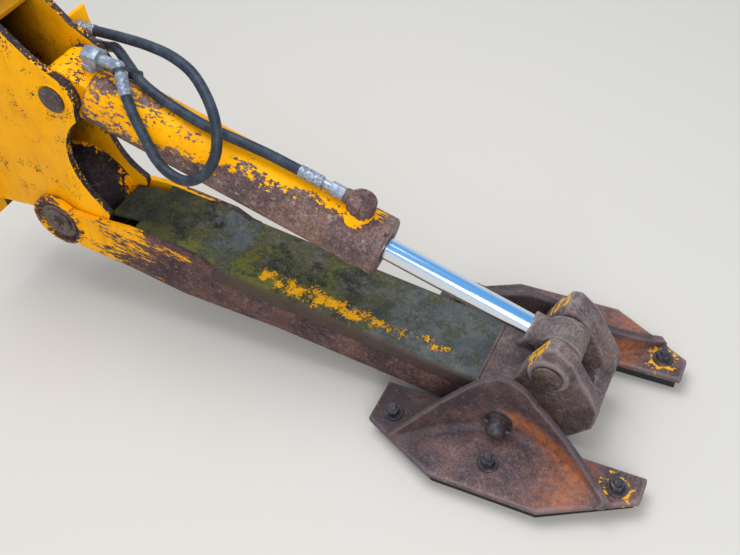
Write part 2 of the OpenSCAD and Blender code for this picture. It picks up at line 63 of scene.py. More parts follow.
# %% Colours and nodes
def hue(code):
    """sRGB hex to linear: c / 12.92 up to 0.04045, otherwise ((c + 0.055) / 1.055) to the power 2.4."""
    parts = [int(code[k:k + 2], 16) / 255 for k in (1, 3, 5)]
    return (*[c / 12.92 if c <= 0.04045 else ((c + 0.055) / 1.055) ** 2.4 for c in parts], 1.0)


def add(tree, kind, sockets=(), out=0, **settings):
    """Adds one node. Its sockets are a row of values in the order of its inputs, or values under the
    inputs' names or numbers; each value is a number, a place, a hex colour or another node's output. What
    comes back is the output that out names, one for each name in a tuple, or nothing."""
    node = tree.nodes.new("ShaderNode" + kind)
    for name, value in settings.items():
        setattr(node, name, value)
    for key, value in sockets.items() if isinstance(sockets, dict) else enumerate(sockets):
        if isinstance(value, bpy.types.NodeSocket):
            tree.links.new(value, node.inputs[key])
        else:
            node.inputs[key].default_value = hue(value) if isinstance(value, str) else value
    if isinstance(out, tuple):
        return [node.outputs[name] for name in out]
    return None if out is None else node.outputs[out]


print("mid grey in linear light", round(hue("#808080")[0], 3))

# %% [markdown]
# The photographer stood beside the leg and looked down at about 45 degrees. The lens and the three axes
# were solved from the straight edges of the plates, the cylinder and the pins, so they are given as plain
# numbers.

# %% Camera
RIGHT = (0.89245545, 0.43905096, -0.10371846)
FORWARD = (-0.37567648, 0.59597965, -0.70970095)
UP = (-0.24978079, 0.67234107, 0.69682641)
STANDPOINT = (1.66499, -1.13134, 1.10574)
LENS_MM, SENSOR_MM = 46.165, 36
camera = bpy.data.objects.new("camera", bpy.data.cameras.new("camera"))
camera.data.sensor_width = SENSOR_MM
camera.data.lens = LENS_MM
turn = Matrix((RIGHT, UP, [-c for c in FORWARD])).transposed().to_4x4()
camera.matrix_world = Matrix.Translation(STANDPOINT) @ turn
bpy.context.scene.collection.objects.link(camera)
bpy.context.scene.camera = camera
print("camera", [round(c, 3) for c in camera.location], "lens", LENS_MM)

# %% [markdown]
# New shapes come from two ideas. A tube is a small section carried along a path, and a turned shape is a
# profile carried round an axis. Both are grids of points, so one function joins any such grid with quads
# and closes its ends.

# %% Grids of points
SHARP = 38


def unit(v):
    """Each row divided by its own length."""
    v = np.asarray(v, float)
    return v / np.linalg.norm(v, axis=-1, keepdims=True)


def skin(grid, ring=False):
    """Quads between neighbouring rows of a grid (rows, columns, 3), whose columns run round the section.
    The rows close on themselves if ring is set, and otherwise each end gets one flat face."""
    rows, columns = grid.shape[:2]
    index = np.arange(rows * columns).reshape(rows, columns)
    here = index if ring else index[:-1]
    there = np.roll(index, -1, 0) if ring else index[1:]
    quads = np.stack([here, np.roll(here, -1, 1), np.roll(there, -1, 1), there], -1).reshape(-1, 4)
    ends = [] if ring else [index[0, ::-1].tolist(), index[-1].tolist()]
    return grid.reshape(-1, 3), quads.tolist() + ends


def piece(name, shapes, body=None, instead=(), smooth=True):
    """Joins shapes (points, faces) into one object at the origin, and lets it ride on a body. Edges that
    turn by more than SHARP degrees stay sharp."""
    points = np.concatenate([s[0] for s in shapes])
    starts = np.cumsum([0] + [len(s[0]) for s in shapes])
    faces = [[i + int(start) for i in face] for start, s in zip(starts, shapes) for face in s[1]]
    mesh = bpy.data.meshes.new(name)
    mesh.from_pydata(points.tolist(), [], faces)
    mesh.polygons.foreach_set("use_smooth", [smooth] * len(mesh.polygons))
    mesh.set_sharp_from_angle(angle=math.radians(SHARP))
    made = bpy.data.objects.new(name, mesh)
    bpy.context.scene.collection.objects.link(made)
    if body:
        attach(made, body)
    if instead:
        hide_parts(*instead)
    return made


print("a grid of 3 by 4 points gets", len(skin(np.zeros((3, 4, 3)))[1]), "faces")

# %% [markdown]
# A hose bends evenly, so its middle line has to be smoother than the few points that fix its route. A
# Catmull-Rom curve passes through every point and keeps its heading. The section is then set square to that
# curve.

# %% Curves and tubes
def through(points, step, ring=False):
    """Catmull-Rom: between b and c, with a before and d after, at share t: half of 2b + (c - a)t + (2a - 5b
    + 4c - d)t^2 + (3b - a - 3c + d)t^3, then spread evenly by length."""
    p = np.asarray(points, float)
    n = len(p)
    t = np.linspace(0, n if ring else n - 1, 40 * n, endpoint=not ring)
    i = np.minimum(t.astype(int), n - 1 if ring else n - 2)
    f = (t - i)[:, None]
    if ring:
        a, b, c, d = (p[(i + k) % n] for k in (-1, 0, 1, 2))
    else:
        q = np.concatenate([[2 * p[0] - p[1]], p, [2 * p[-1] - p[-2]]])
        a, b, c, d = (q[i + k] for k in (0, 1, 2, 3))
    line = 0.5 * (2 * b + (c - a) * f + (2 * a - 5 * b + 4 * c - d) * f**2 + (3 * b - a - 3 * c + d) * f**3)
    if ring:
        line = np.concatenate([line, line[:1]])
    along = np.concatenate([[0], np.cumsum(np.linalg.norm(np.diff(line, axis=0), axis=1))])
    count = max(4, int(round(along[-1] / step)))
    places = np.linspace(0, along[-1], count + 1)[: count if ring else None]
    return np.stack([np.interp(places, along, line[:, k]) for k in range(3)], 1)


def headings(line, ring=False):
    """Direction of the line at each of its points, from the points before and after."""
    if ring:
        return unit(np.roll(line, -1, 0) - np.roll(line, 1, 0))
    return unit(np.gradient(line, axis=0))


def tube(line, radius, across, columns=20, ring=False):
    """Section carried along the line: centre + radius * (cos a * n + sin a * b), where b is the part of the
    direction across that is square to the line, and n is b turned a quarter round the line. The radius is
    one number, or differs along the line, round the section or both."""
    t = headings(line, ring)
    across = np.asarray(across, float)
    b = unit(across - (t @ across)[:, None] * t)
    n = np.cross(b, t)
    a = np.linspace(0, 2 * np.pi, columns, endpoint=False)
    radius = np.broadcast_to(radius, (len(line), columns))
    spokes = np.cos(a)[None, :, None] * n[:, None] + np.sin(a)[None, :, None] * b[:, None]
    return skin(line[:, None] + radius[..., None] * spokes, ring)


square = [[0, 0, 0], [1, 0, 0], [1, 1, 0], [0, 1, 0]]
print("a ring through", len(square), "points becomes", len(through(square, 0.2, True)), "points")

# %% [markdown]
# The two hydraulic hoses are wire-braided rubber, 21 mm thick. One makes a loop from the elbow at the
# closed end of the cylinder; the other runs back along the barrel. Both end in the tab behind the bracket.
# The routes repeat the source's points, and each becomes one smooth tube that replaces the faceted one. A
# tube through given points was chosen over a simulated cord, because a stiff hose holds the bend that its
# fittings force on it.

# %% Hoses
BASE_ROUTE = np.array([
    [497, -38, 122], [517, -54, 95], [541, -68, 57], [563, -80, 24], [595, -89, 2], [638, -93, -3],
    [677, -85, 17], [699, -68, 50], [700, -48, 85], [687, -27, 116], [658, -3, 145], [617, 21, 165],
    [560, 41, 175], [492, 61, 172], [425, 81, 162], [372, 95, 154], [329, 100, 152]]) * MM
GLAND_ROUTE = np.array([
    [833, 0, 3], [773, -2, 26], [716, -6, 46], [641, -8, 68], [578, -4, 91], [533, 3, 107], [492, 16, 120],
    [445, 44, 131], [411, 67, 135], [380, 87, 131], [355, 98, 121], [329, 100, 118]]) * MM
HOSE_R = 10.5 * MM
HOSE_SIDES = 24


def hose(name, node, route, across):
    """A tube along the route, with a vertex attribute that counts metres along it for the wrap of its cover."""
    line = through(route, 5 * MM)
    made = piece(name, [tube(line, HOSE_R, across, HOSE_SIDES)], instead=[node])
    steps = np.linalg.norm(np.diff(line, axis=0), axis=1)
    along = np.arange(len(line)) * steps.mean()
    run = made.data.attributes.new("along", "FLOAT", "POINT")
    run.data.foreach_set("value", np.repeat(along, HOSE_SIDES).astype(np.float32))
    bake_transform(made)
    print(name, "length", round(float(steps.sum()), 3), "points", len(line))
    return made, line, float(steps.sum())


# The section twists least if it is turned by a direction square to the route, such as the loop's normal.
LOOP_NORMAL = np.linalg.svd(BASE_ROUTE - BASE_ROUTE.mean(0))[2][2]
GLAND_ACROSS = (0.45, 0.2, 0.87)
base_hose, base_line, base_length = hose("base_hose_cover", "base_hose", BASE_ROUTE, LOOP_NORMAL)
gland_hose, gland_line, gland_length = hose("gland_hose_cover", "gland_hose", GLAND_ROUTE, GLAND_ACROSS)

# %% [markdown]
# Most places are easier to give along the leg or along the cylinder than in the part's own axes. Both slope
# down towards the tip. The frame's joints say where the pins are and which way the rod slides, so these two
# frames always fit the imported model.

# %% Places on the leg and on the cylinder
record = frame["record"]
joints = {row["name"]: row for row in record["behaviour"]["joints"]}
PIVOT = np.array(joints["leg_swing"]["pos_m"], float)
BASE_PIN = np.array(joints["cylinder_swing"]["pos_m"], float)
FOOT_PIN = np.array(joints["shoe_pivot"]["pos_m"], float)
slide = joints["rod_slide"]["axis"]
LEG_SLOPE = math.radians(10)
CYLINDER_SLOPE = math.atan2(-slide[2], slide[0])
X, ACROSS, Z = np.eye(3)


def sloping(origin, slope):
    """The directions along and up of a frame that dips below X by the slope, and a function that turns u,
    v, w in mm into the place origin + u * along + v * across + w * up in metres."""
    along = np.array([math.cos(slope), 0, -math.sin(slope)])
    up = np.array([math.sin(slope), 0, math.cos(slope)])

    def there(u, v, w):
        u, v, w = (np.asarray(length, float)[..., None] * MM for length in (u, v, w))
        return origin + u * along + v * ACROSS + w * up

    return along, up, there


ALONG_LEG, UP_LEG, on_leg = sloping(PIVOT, LEG_SLOPE)
ALONG_CYLINDER, UP_CYLINDER, on_cylinder = sloping(BASE_PIN, CYLINDER_SLOPE)
print("cylinder slopes by", round(math.degrees(CYLINDER_SLOPE), 3), "degrees")

# %% [markdown]
# Sleeves, bolts and nuts are all made on a lathe or from hexagon bar, so one function turns a profile round
# an axis. A hexagon needs no other tool: the distance from the middle to a flat side grows by 1 / cos of
# the angle to the middle of that side. A screw's thread is a small sawtooth on the radius that climbs as it
# goes round.

# %% Turned shapes
THREAD_DEPTH = 0.9


def turned(centre, axis, profile, columns=48, pitch=2.0):
    """Profile carried round an axis. Each row is height, radius, hexagon share, thread share, in mm. At
    angle a the radius is r * (1 + hexagon * (1 / cos(angle to the nearest flat) - 1)), less thread *
    THREAD_DEPTH * |2 * (height / pitch - turns) - 1|."""
    rows = np.array([list(r) + [0] * (4 - len(r)) for r in profile], float)
    a = np.linspace(0, 2 * np.pi, columns, endpoint=False)[None]
    h, r, hexed, threaded = (rows[:, k][:, None] for k in range(4))
    off_flat = np.mod(a + np.pi / 6, np.pi / 3) - np.pi / 6
    turns = np.mod(h / pitch - a / (2 * np.pi), 1)
    radius = r * (1 + hexed * (1 / np.cos(off_flat) - 1)) - threaded * THREAD_DEPTH * np.abs(2 * turns - 1)
    w = unit(axis)
    u = unit(np.cross(w, [0.31, 0.95, 0.05]))
    v = np.cross(w, u)
    spokes = np.cos(a)[..., None] * u + np.sin(a)[..., None] * v
    return skin(np.asarray(centre, float) + MM * (h[..., None] * w + radius[..., None] * spokes))


def threads(start, end, radius):
    """Rows half a millimetre apart with the full thread."""
    return [(h, radius, 0, 1) for h in np.arange(start, end, 0.5)]


def nut_rows(base, height, flat):
    """Rows of a hexagon of half width flat, chamfered at both ends."""
    top = base + height
    return [(base, flat * 0.98), (base + 0.8, flat, 1), (top - 1.6, flat, 1), (top, flat * 0.97)]


def hex_bolt(centre, axis, flat, height, washer):
    """Washer, hexagon and a slightly dished top."""
    shank = flat * 0.6
    rows = [(-4, shank), (-0.5, shank), (-0.5, washer), (2.2, washer), (2.6, washer - 0.5), (2.6, flat)]
    return turned(centre, axis, rows + nut_rows(2.6, height, flat) + [(2.2 + height, shank)])


print("a plain nut has", len(turned((0, 0, 0), Z, nut_rows(0, 13, 12))[0]), "points")

# %% [markdown]
# Each hose end is held by a steel sleeve that a press has squeezed onto it, which leaves a rounded rim and
# a few shallow rings. A turned shape gives both, with rim and rings worked into its profile.

# %% Crimped sleeves
SLEEVE_R = 12.5
CORNER = np.array([469, -4, 161]) * MM
TAB_FACE = 299 * MM


def sleeve(start, end):
    """Radius SLEEVE_R, less 2.2 * (1 - sqrt(1 - (1 - rim)^2)) where rim climbs from 0 to 1 over 2 mm from
    either end, less 0.35 * cos(6 * pi * s / length)^6 where that cosine is above zero."""
    axis = np.subtract(end, start)
    length = float(np.linalg.norm(axis)) / MM
    s = np.linspace(0, length, 60)
    rim = np.clip(np.minimum(s, length - s) / 2.0, 0, 1)
    rings = 0.35 * np.clip(np.cos(s / length * 6 * np.pi), 0, 1) ** 6
    radius = SLEEVE_R - 2.2 * (1 - np.sqrt(1 - (1 - rim) ** 2)) - rings
    return turned(start, axis, np.stack([s, radius], 1), 64)


elbow_end = CORNER + 14 * MM * unit(BASE_ROUTE[0] - CORNER)
base_sleeve = piece("base_sleeve", [sleeve(elbow_end, BASE_ROUTE[0])], body="barrel",
                    instead=["base_ferrule"])
gland_sleeve = piece("gland_sleeve", [sleeve(on_cylinder(553, 0, 80), GLAND_ROUTE[0])], body="barrel",
                     instead=["gland_ferrule"])
tab_sleeves = [
    piece(f"tab_sleeve_{k}", [sleeve((TAB_FACE, route[-1][1], route[-1][2]), route[-1])], body="bracket",
          instead=["tab_ferrules"])
    for k, route in enumerate([BASE_ROUTE, GLAND_ROUTE])]
print("sleeves", 2 + len(tab_sleeves))

# %% [markdown]
# The two hoses are stiff, and both end on the object. Their true lengths along their middle lines are
# printed.

# %% Hose lengths
print("cords of", round(base_length, 3), "and", round(gland_length, 3), "m")

# %% [markdown]
# Torches and shears leave sharp edges, but grinding, paint and years of knocks round them by a millimetre
# or two, and a rounded edge is what catches the light. Each plate, pin and fitting gets a copy with a
# narrow bevel: its triangles are joined, flat neighbours become one face, and only edges that turn by more
# than 40 degrees are rounded.

# %% Eased edges
BODY_OF = {node: body for body, nodes in record["behaviour"]["bodies"].items() for node in nodes}
stand_in = {}


def stand_for(node, made):
    """Links an object that stands for a CAD node: it rides where the node rides, and the node is hidden."""
    bpy.context.scene.collection.objects.link(made)
    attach(made, BODY_OF[node])
    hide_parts(node)
    stand_in[node] = made


def merged(node, extra=()):
    """The node's mesh joined at its corners, with extra shapes (points, faces) added to it."""
    grown = bmesh.new()
    grown.from_mesh(frame["nodes"][node].data)
    bmesh.ops.remove_doubles(grown, verts=grown.verts, dist=0.01 * MM)
    bmesh.ops.dissolve_limit(grown, angle_limit=math.radians(0.5), verts=grown.verts, edges=grown.edges)
    for points, faces in extra:
        added = bpy.data.meshes.new("added")
        added.from_pydata(points.tolist(), [], faces)
        grown.from_mesh(added)
        bpy.data.meshes.remove(added)
    mesh = bpy.data.meshes.new(node + "_mesh")
    grown.to_mesh(mesh)
    grown.free()
    return mesh


def eased(node, width):
    """A copy of the node with its sharp edges rounded over width mm."""
    mesh = merged(node)
    mesh.polygons.foreach_set("use_smooth", [True] * len(mesh.polygons))
    copy = bpy.data.objects.new(node + "_eased", mesh)
    soft = copy.modifiers.new("eased", "BEVEL")
    soft.width = width * MM
    soft.segments = 2
    soft.limit_method = "ANGLE"
    soft.angle_limit = math.radians(40)
    soft.harden_normals = True
    stand_for(node, copy)


# Width of the rounded edge, in mm
EASED = {
    "bracket_plate_near": 2.0, "bracket_plate_far": 2.0, "weld_plate": 2.0, "bracket_top_plate": 2.0,
    "nose_plate": 1.5, "leg_side_near": 2.5, "leg_side_far": 2.5, "leg_top": 2.0, "leg_bottom": 2.0,
    "leg_pin": 2.0, "base_pin": 1.6, "rod_pin_near": 1.6, "rod_pin_far": 1.6, "gland_nut": 1.2, "barrel": 1.2,
    "foot_pin": 1.2, "hose_tab": 1.0, "base_elbow": 0.8, "gland_fitting": 0.8, "tab_unions": 0.8,
    "rubber_near": 3.0, "rubber_far": 3.0,
}
for node, width in EASED.items():
    eased(node, width)
print("eased", len(EASED), "pieces")

# %% [markdown]
# The fork at the leg's tip, the shoes, the rod's eye and the cylinder's lug are forged or cast, so every
# corner is round. A voxel remesh turns the sharp solid into even small faces, and a few rounds of relaxing
# melt its corners, as a mould does. A bevel can't do this, because it rounds each edge but leaves the faces
# between them flat. How far a point stands out of its surroundings is kept too, because rubbing brightens
# such ridges.

# %% Castings and forgings
def ridges(mesh, rounds=8):
    """How far each point stands, in mm, along its normal from the place that it takes when the rounds
    replace each point by the mean of its neighbours."""
    points, normals = np.empty(3 * len(mesh.vertices)), np.empty(3 * len(mesh.vertices))
    mesh.vertices.foreach_get("co", points)
    mesh.vertices.foreach_get("normal", normals)
    points, normals = points.reshape(-1, 3), normals.reshape(-1, 3)
    ends = np.empty(2 * len(mesh.edges), int)
    mesh.edges.foreach_get("vertices", ends)
    one, other = ends.reshape(-1, 2).T
    share = np.bincount(ends, minlength=len(points))[:, None]
    level = points
    for _ in range(rounds):
        total = np.zeros_like(level)
        np.add.at(total, one, level[other])
        np.add.at(total, other, level[one])
        level = total / share
    return ((points - level) * normals).sum(1) / MM


def forged(node, voxel, passes, extra=()):
    """A copy remeshed at voxel mm and relaxed in so many passes, with the attribute ridge on its points."""
    copy = bpy.data.objects.new(node + "_sharp", merged(node, extra))
    bpy.context.scene.collection.objects.link(copy)
    remesh = copy.modifiers.new("even", "REMESH")
    remesh.mode = "VOXEL"
    remesh.voxel_size = voxel * MM
    relax = copy.modifiers.new("relax", "SMOOTH")
    relax.factor = 0.5
    relax.iterations = passes
    mesh = bpy.data.meshes.new_from_object(copy.evaluated_get(bpy.context.evaluated_depsgraph_get()))
    bpy.data.objects.remove(copy)
    ridge = ridges(mesh)
    mesh.attributes.new("ridge", "FLOAT", "POINT").data.foreach_set("value", ridge.astype(np.float32))
    mesh.polygons.foreach_set("use_smooth", [True] * len(mesh.polygons))
    stand_for(node, bpy.data.objects.new(node + "_forged", mesh))
    print(node, "faces", len(mesh.polygons), "ridges up to", round(float(ridge.max()), 2), "mm")


SHOE_SIDES = {"shoe_near": -1, "shoe_far": 1}
SOLE_DROP, SHOE_SHIFT = 28, 15
SOLE = FOOT_PIN - SOLE_DROP * MM * Z
FILLET_R = 13


def wall_foot(side):
    """Line where the outside of a shoe's bowed wall meets its sole: y = 116 + 104 t^1.7 + 6 t^2, where t is
    the distance along the shoe over 205 inboard and over 235 outboard."""
    x = np.linspace(-196, 216, 90)
    t = np.abs(x) / np.where(x < 0, 205, 235)
    y = 116 + 104 * t**1.7 + 6 * t**2
    return SOLE + np.stack([SHOE_SHIFT + x, side * y, np.zeros_like(x)], 1) * MM


for node, side in SHOE_SIDES.items():
    forged(node, 3.0, 7, [tube(wall_foot(side), FILLET_R * MM, Z, 4)])

# %% [markdown]
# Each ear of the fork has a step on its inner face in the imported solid, where the real forging has a slope.
# A solid between two outlines, a small one on the ear's inner face and the full one on its outer part,
# fills that step before the remesh, which then melts all of it into one skin.

# %% Fork, eye, lug and port
EAR = np.array([
    [1018, 50], [1065, 104], [1076, 153], [1106, 227], [1125, 232], [1161, 208], [1185, 173], [1209, 142],
    [1230, 110], [1234, 82], [1232, 50], [1200, 0], [1150, -34], [1018, -34]], float)
ROD_PIN = np.array([1125.0, 164.0])


def ear_slope(side):
    """Solid between two outlines: 50.5 mm from the middle the ear's own, and 33.5 mm from the middle 0.78 of
    it about the pin."""
    rows = []
    for share, y in [(0.78, 33.5), (1.0, 50.5)][::side]:
        u, w = (ROD_PIN + share * (EAR - ROD_PIN)).T
        rows.append(on_leg(u, side * y, w))
    return skin(np.array(rows))


forged("tip_casting", 3.2, 9, [ear_slope(1), ear_slope(-1)])
for node, voxel, passes in [("rod_eye", 2.6, 7), ("base_lug", 2.6, 6), ("gland_port", 2.2, 5)]:
    forged(node, voxel, passes)

# %% [markdown]
# Arc welds hold the plates together. A bead is a rope of overlapping puddles, so it is a tube whose radius
# swells every 4 to 5 mm, half sunk in the corner that it fills, with its ends drawn in. A bump in the
# plates' finish would be simpler, but a bead stands so far out that its outline shows.

# %% Weld beads
def bead(points, radius, across, ring=False, step=1.5, swell=4.6):
    """Tube of radius r * (0.9 + 0.16 * |sin(pi * length / swell)|) along a smooth line, narrowed at its
    ends. All lengths are in mm but the points, which are in metres."""
    line = through(points, step * MM, ring)
    along = np.arange(len(line)) * step
    size = radius * (0.9 + 0.16 * np.abs(np.sin(np.pi * along / swell)))
    if not ring:
        size *= np.sqrt(np.clip(np.minimum(along + 0.6, along[::-1] + 0.6) / (1.5 * radius), 0.05, 1))
    return tube(line, (size * MM)[:, None], across, 10, ring)


def straight(p, q, step=20):
    """Points from p to q, about step mm apart."""
    count = max(2, int(np.linalg.norm(np.subtract(q, p)) / (step * MM)))
    return np.linspace(p, q, count)


def circle(centre, u, v, radius, start=0.0, end=360.0, count=40):
    """Points centre + radius * (cos a * u + sin a * v); the last is left out where the circle closes."""
    a = np.radians(np.linspace(start, end, count, endpoint=end - start < 360))[:, None]
    return np.asarray(centre) + radius * MM * (np.cos(a) * u + np.sin(a) * v)


print("a ring of 55 mm gets", len(bead(circle((0, 0, 0), X, Z, 55), 4, ACROSS, True)[1]), "faces")

# %% [markdown]
# The beads run where the real ones do: round the lug, along the leg's raised top, round the fork's root,
# along the curved plate, down the bracket's plates and round the base pin's bosses.

# %% Beads in their corners
SIDES = (-1, 1)
LUG_FACE, LUG_RING_R = 60.8, 55
SEAM_Y = 80.5
TOP_SEAM = [
    (192, 66), (230, 69), (260, 69.5), (300, 69.5), (340, 69.5), (362, 69), (384, 61.5), (402, 55), (430, 53)]
FORK_ROOT = 1000
FORK_SEAMS = [
    ((-81, 57), (81, 57), Z), ((-84, 54), (-84, -35), X),
    ((84, 54), (84, -35), X), ((-81, -37), (81, -37), Z)]
NOSE_Y, NOSE_R, NOSE_START, NOSE_END = 54, 117.5, -49, 89
PLATE_X, PLATE_Y, PLATE_ENDS = 16, 70.5, (-236, 276)
BOSS_Y, BOSS_R = 70, 33.5

lug_ring = circle(on_cylinder(LUG_FACE, 0, 0), ACROSS, UP_CYLINDER, LUG_RING_R)
lug_weld = piece("lug_weld", [bead(lug_ring, 4, ALONG_CYLINDER, True)], body="barrel")
leg_seams = piece("leg_seams", [
    bead([on_leg(u, side * SEAM_Y, w) for u, w in TOP_SEAM], 5, Z) for side in SIDES],
    body="leg")
tip_seams = piece("tip_seams", [
    bead(straight(on_leg(FORK_ROOT, *start), on_leg(FORK_ROOT, *end)), 3.6, across)
    for start, end, across in FORK_SEAMS], body="leg")
nose_welds = piece("nose_welds", [
    bead(circle(PIVOT + side * NOSE_Y * MM * ACROSS, X, Z, NOSE_R, NOSE_START, NOSE_END), 4.2, ACROSS)
    for side in SIDES], body="bracket")
frame_welds = piece("frame_welds", [
    bead(straight(*[MM * np.array([PLATE_X, side * PLATE_Y, z]) for z in PLATE_ENDS]), 5.5, X)
    for side in SIDES], body="bracket")
pin_rings = piece("pin_rings", [
    bead(circle(BASE_PIN + side * BOSS_Y * MM * ACROSS, X, Z, BOSS_R), 2.6, ACROSS, True) for side in SIDES],
    body="bracket")
for made in (lug_weld, leg_seams, tip_seams, nose_welds, frame_welds, pin_rings):
    print(made.name, "faces", len(made.data.polygons))

# %% [markdown]
# In front of the curved plate a short plate closes the leg's belly, and a lip on it closes the gap below the
# deck; the lip is a dark sheet that stands for the shade in that slit. Flat steel needs no more than two
# boxes, set along the leg.

# %% Closing plate
def box_on_leg(start, end, low, high, half=50):
    """Box from start to end along the leg, from low to high above it, and half to either side, in mm."""
    section = [(-half, low), (half, low), (half, high), (-half, high)]
    return skin(np.array([[on_leg(u, y, w) for y, w in section] for u in (start, end)]))


# The second box is the lip, a dark sheet put in the slit below the deck where there is only shade.
belly_tongue = piece("belly_tongue", [box_on_leg(116, 224, -61, -51), box_on_leg(126, 134, -60, -2)],
                     body="leg", smooth=False)
print("closing plate", [round(float(x), 3) for x in belly_tongue.dimensions])

# %% [markdown]
# Three studs with washers and nuts hold each shoe's rubber. One bolt sits on the deck, one in each end of
# the leg's pin, and a grease nipple between the fork's ears. All are turned shapes with profiles of a few
# rows, in mm.

# %% Bolts, studs and nuts
STUD_PLACES = [(-208, 162), (8, 202), (243, 163)]
DECK_BOLT_AT, NIPPLE_AT, PIN_END_Y = (356, 22, 73), (1192, 0, 86), 89
stud_rows = [
    (-32, 7), (-31, 8), (0, 8), (0, 19.6), (0.8, 20.5), (3.0, 20.5), (3.9, 19.4), (3.4, 16), (3.4, 12.4)]
stud_rows += nut_rows(3.4, 13.4, 12) + [(16.8, 8)] + threads(17, 25, 8) + [(26, 6.4)]
nipple_rows = [(-3, 8), (4, 8), (4, 9.5), (5, 10, 1), (11, 10, 1), (12, 8), (16, 7.4), (19, 5.6), (20, 3)]
for node, side in [("studs_near", -1), ("studs_far", 1)]:
    stand_in[node] = piece(node + "_turned", [
        turned(SOLE + MM * np.array([x, side * y, 0]), Z, stud_rows) for x, y in STUD_PLACES],
        body="shoes", instead=[node])
bolts = piece("bolts", [hex_bolt(on_leg(*DECK_BOLT_AT), UP_LEG, 9.5, 8, 14)], body="leg")
pin_bolts = piece("pin_bolts", [
    hex_bolt(PIVOT + side * PIN_END_Y * MM * ACROSS, side * ACROSS, 8.5, 6, 14) for side in SIDES],
    body="bracket")
nipple = piece("grease_nipple", [turned(on_leg(*NIPPLE_AT), UP_LEG, nipple_rows)], body="leg")
print("studs", 2 * len(STUD_PLACES), "bolts", 1 + len(SIDES))

# %% [markdown]
# Where the rod leaves the gland, a ring of black rubber wipes it clean. A strap of the same black holds the
# elbow and the other hose together. The ring is a tube round a circle; the strap is a flat section round
# both hoses.

# %% Wiper and strap
WIPER_AT, WIPER_R, WIPER_THICK = 705.5, 26.8, 4
STRAP_ENDS = np.array([[473, -9, 155], [475, 26, 124]]) * MM
STRAP_LOOP_R, STRAP_HALF_WIDTH, STRAP_HALF_THICK = 13.2, 4.0, 1.1

wiper_ring = circle(on_cylinder(WIPER_AT, 0, 0), ACROSS, UP_CYLINDER, WIPER_R, count=64)
wiper = piece("wiper", [tube(wiper_ring, WIPER_THICK * MM, ALONG_CYLINDER, 16, True)], body="barrel")


def strap_line(near_end, far_end):
    """A half circle round either end, joined by straight runs: the nearer end + loop radius * (cos a *
    lengthwise + sin a * crosswise), with the far end in its place where cos a is above zero."""
    lengthwise = unit(far_end - near_end)
    crosswise = unit(np.cross(BASE_ROUTE[0] - CORNER, lengthwise))
    a = np.radians(np.arange(0, 360, 4))[:, None]
    middle = np.where(np.cos(a) > 0, far_end, near_end)
    outline = middle + STRAP_LOOP_R * MM * (np.cos(a) * lengthwise + np.sin(a) * crosswise)
    return through(outline, 2 * MM, True), np.cross(lengthwise, crosswise)


loop, strap_across = strap_line(*STRAP_ENDS)
phase = np.linspace(0, 2 * np.pi, 16, endpoint=False)
flat_section = MM / np.sqrt((np.sin(phase) / STRAP_HALF_WIDTH) ** 2 + (np.cos(phase) / STRAP_HALF_THICK) ** 2)
strap = piece("strap", [tube(loop, flat_section, strap_across, 16, True)], body="barrel")
print("strap round", len(loop), "points")

# %% [markdown]
# The stage is plain: a pale floor at the height that the shoes' pads stand on, one broad soft lamp
# overhead, and a weaker one from the camera's side. The first two functions open and close a material;
# every finish uses them.

# %% Floor and lamps
def blank(name):
    """A new material without nodes, and its tree."""
    material = bpy.data.materials.new(name)
    material.use_nodes = True
    material.node_tree.nodes.clear()
    return material, material.node_tree


def close(tree, colour, roughness, height=None, relief=0.3, **fixed):
    """The last part of every finish: relief in mm as a bump, the surface, and the output."""
    sockets = {"Base Color": colour, "Roughness": roughness}
    for name, value in fixed.items():
        sockets[name.replace("_", " ")] = value
    if height is not None:
        sockets["Normal"] = add(tree, "Bump", {"Height": height, "Distance": relief * MM, "Strength": 1.0})
    add(tree, "OutputMaterial", {"Surface": add(tree, "BsdfPrincipled", sockets)}, out=None)


FLOOR = round(min(corner[2] for corner in frame["nodes"]["rubber_near"].bound_box), 4)
floor_mesh = bpy.data.meshes.new("floor")
floor_mesh.from_pydata([(-7, -7, FLOOR), (9, -7, FLOOR), (9, 9, FLOOR), (-7, 9, FLOOR)], [], [(0, 1, 2, 3)])
floor = bpy.data.objects.new("floor", floor_mesh)
bpy.context.scene.collection.objects.link(floor)
pale_floor, tree = blank("pale floor")
close(tree, "#CFCDC8", 0.9)
floor_mesh.materials.append(pale_floor)

LAMP_TARGET = Vector((0.7, 0, -0.2))
for label, spot, size, power in [("key", (0.2, 0.3, 3.4), 2.6, 92), ("fill", (2.9, -2.6, 2.0), 2.2, 62)]:
    lamp = bpy.data.objects.new(label, bpy.data.lights.new(label, "AREA"))
    lamp.data.size = size
    lamp.data.energy = power
    lamp.location = spot
    lamp.rotation_euler = (LAMP_TARGET - Vector(spot)).to_track_quat("-Z", "Y").to_euler()
    bpy.context.scene.collection.objects.link(lamp)
print("floor at", FLOOR)

# %% [markdown]
# The chrome of the rod mirrors the sky, blue at its height and white at the horizon, but paint and floor
# should get plain white light. A ray knows whether it comes from a glossy surface, so only those rays see
# the blue.

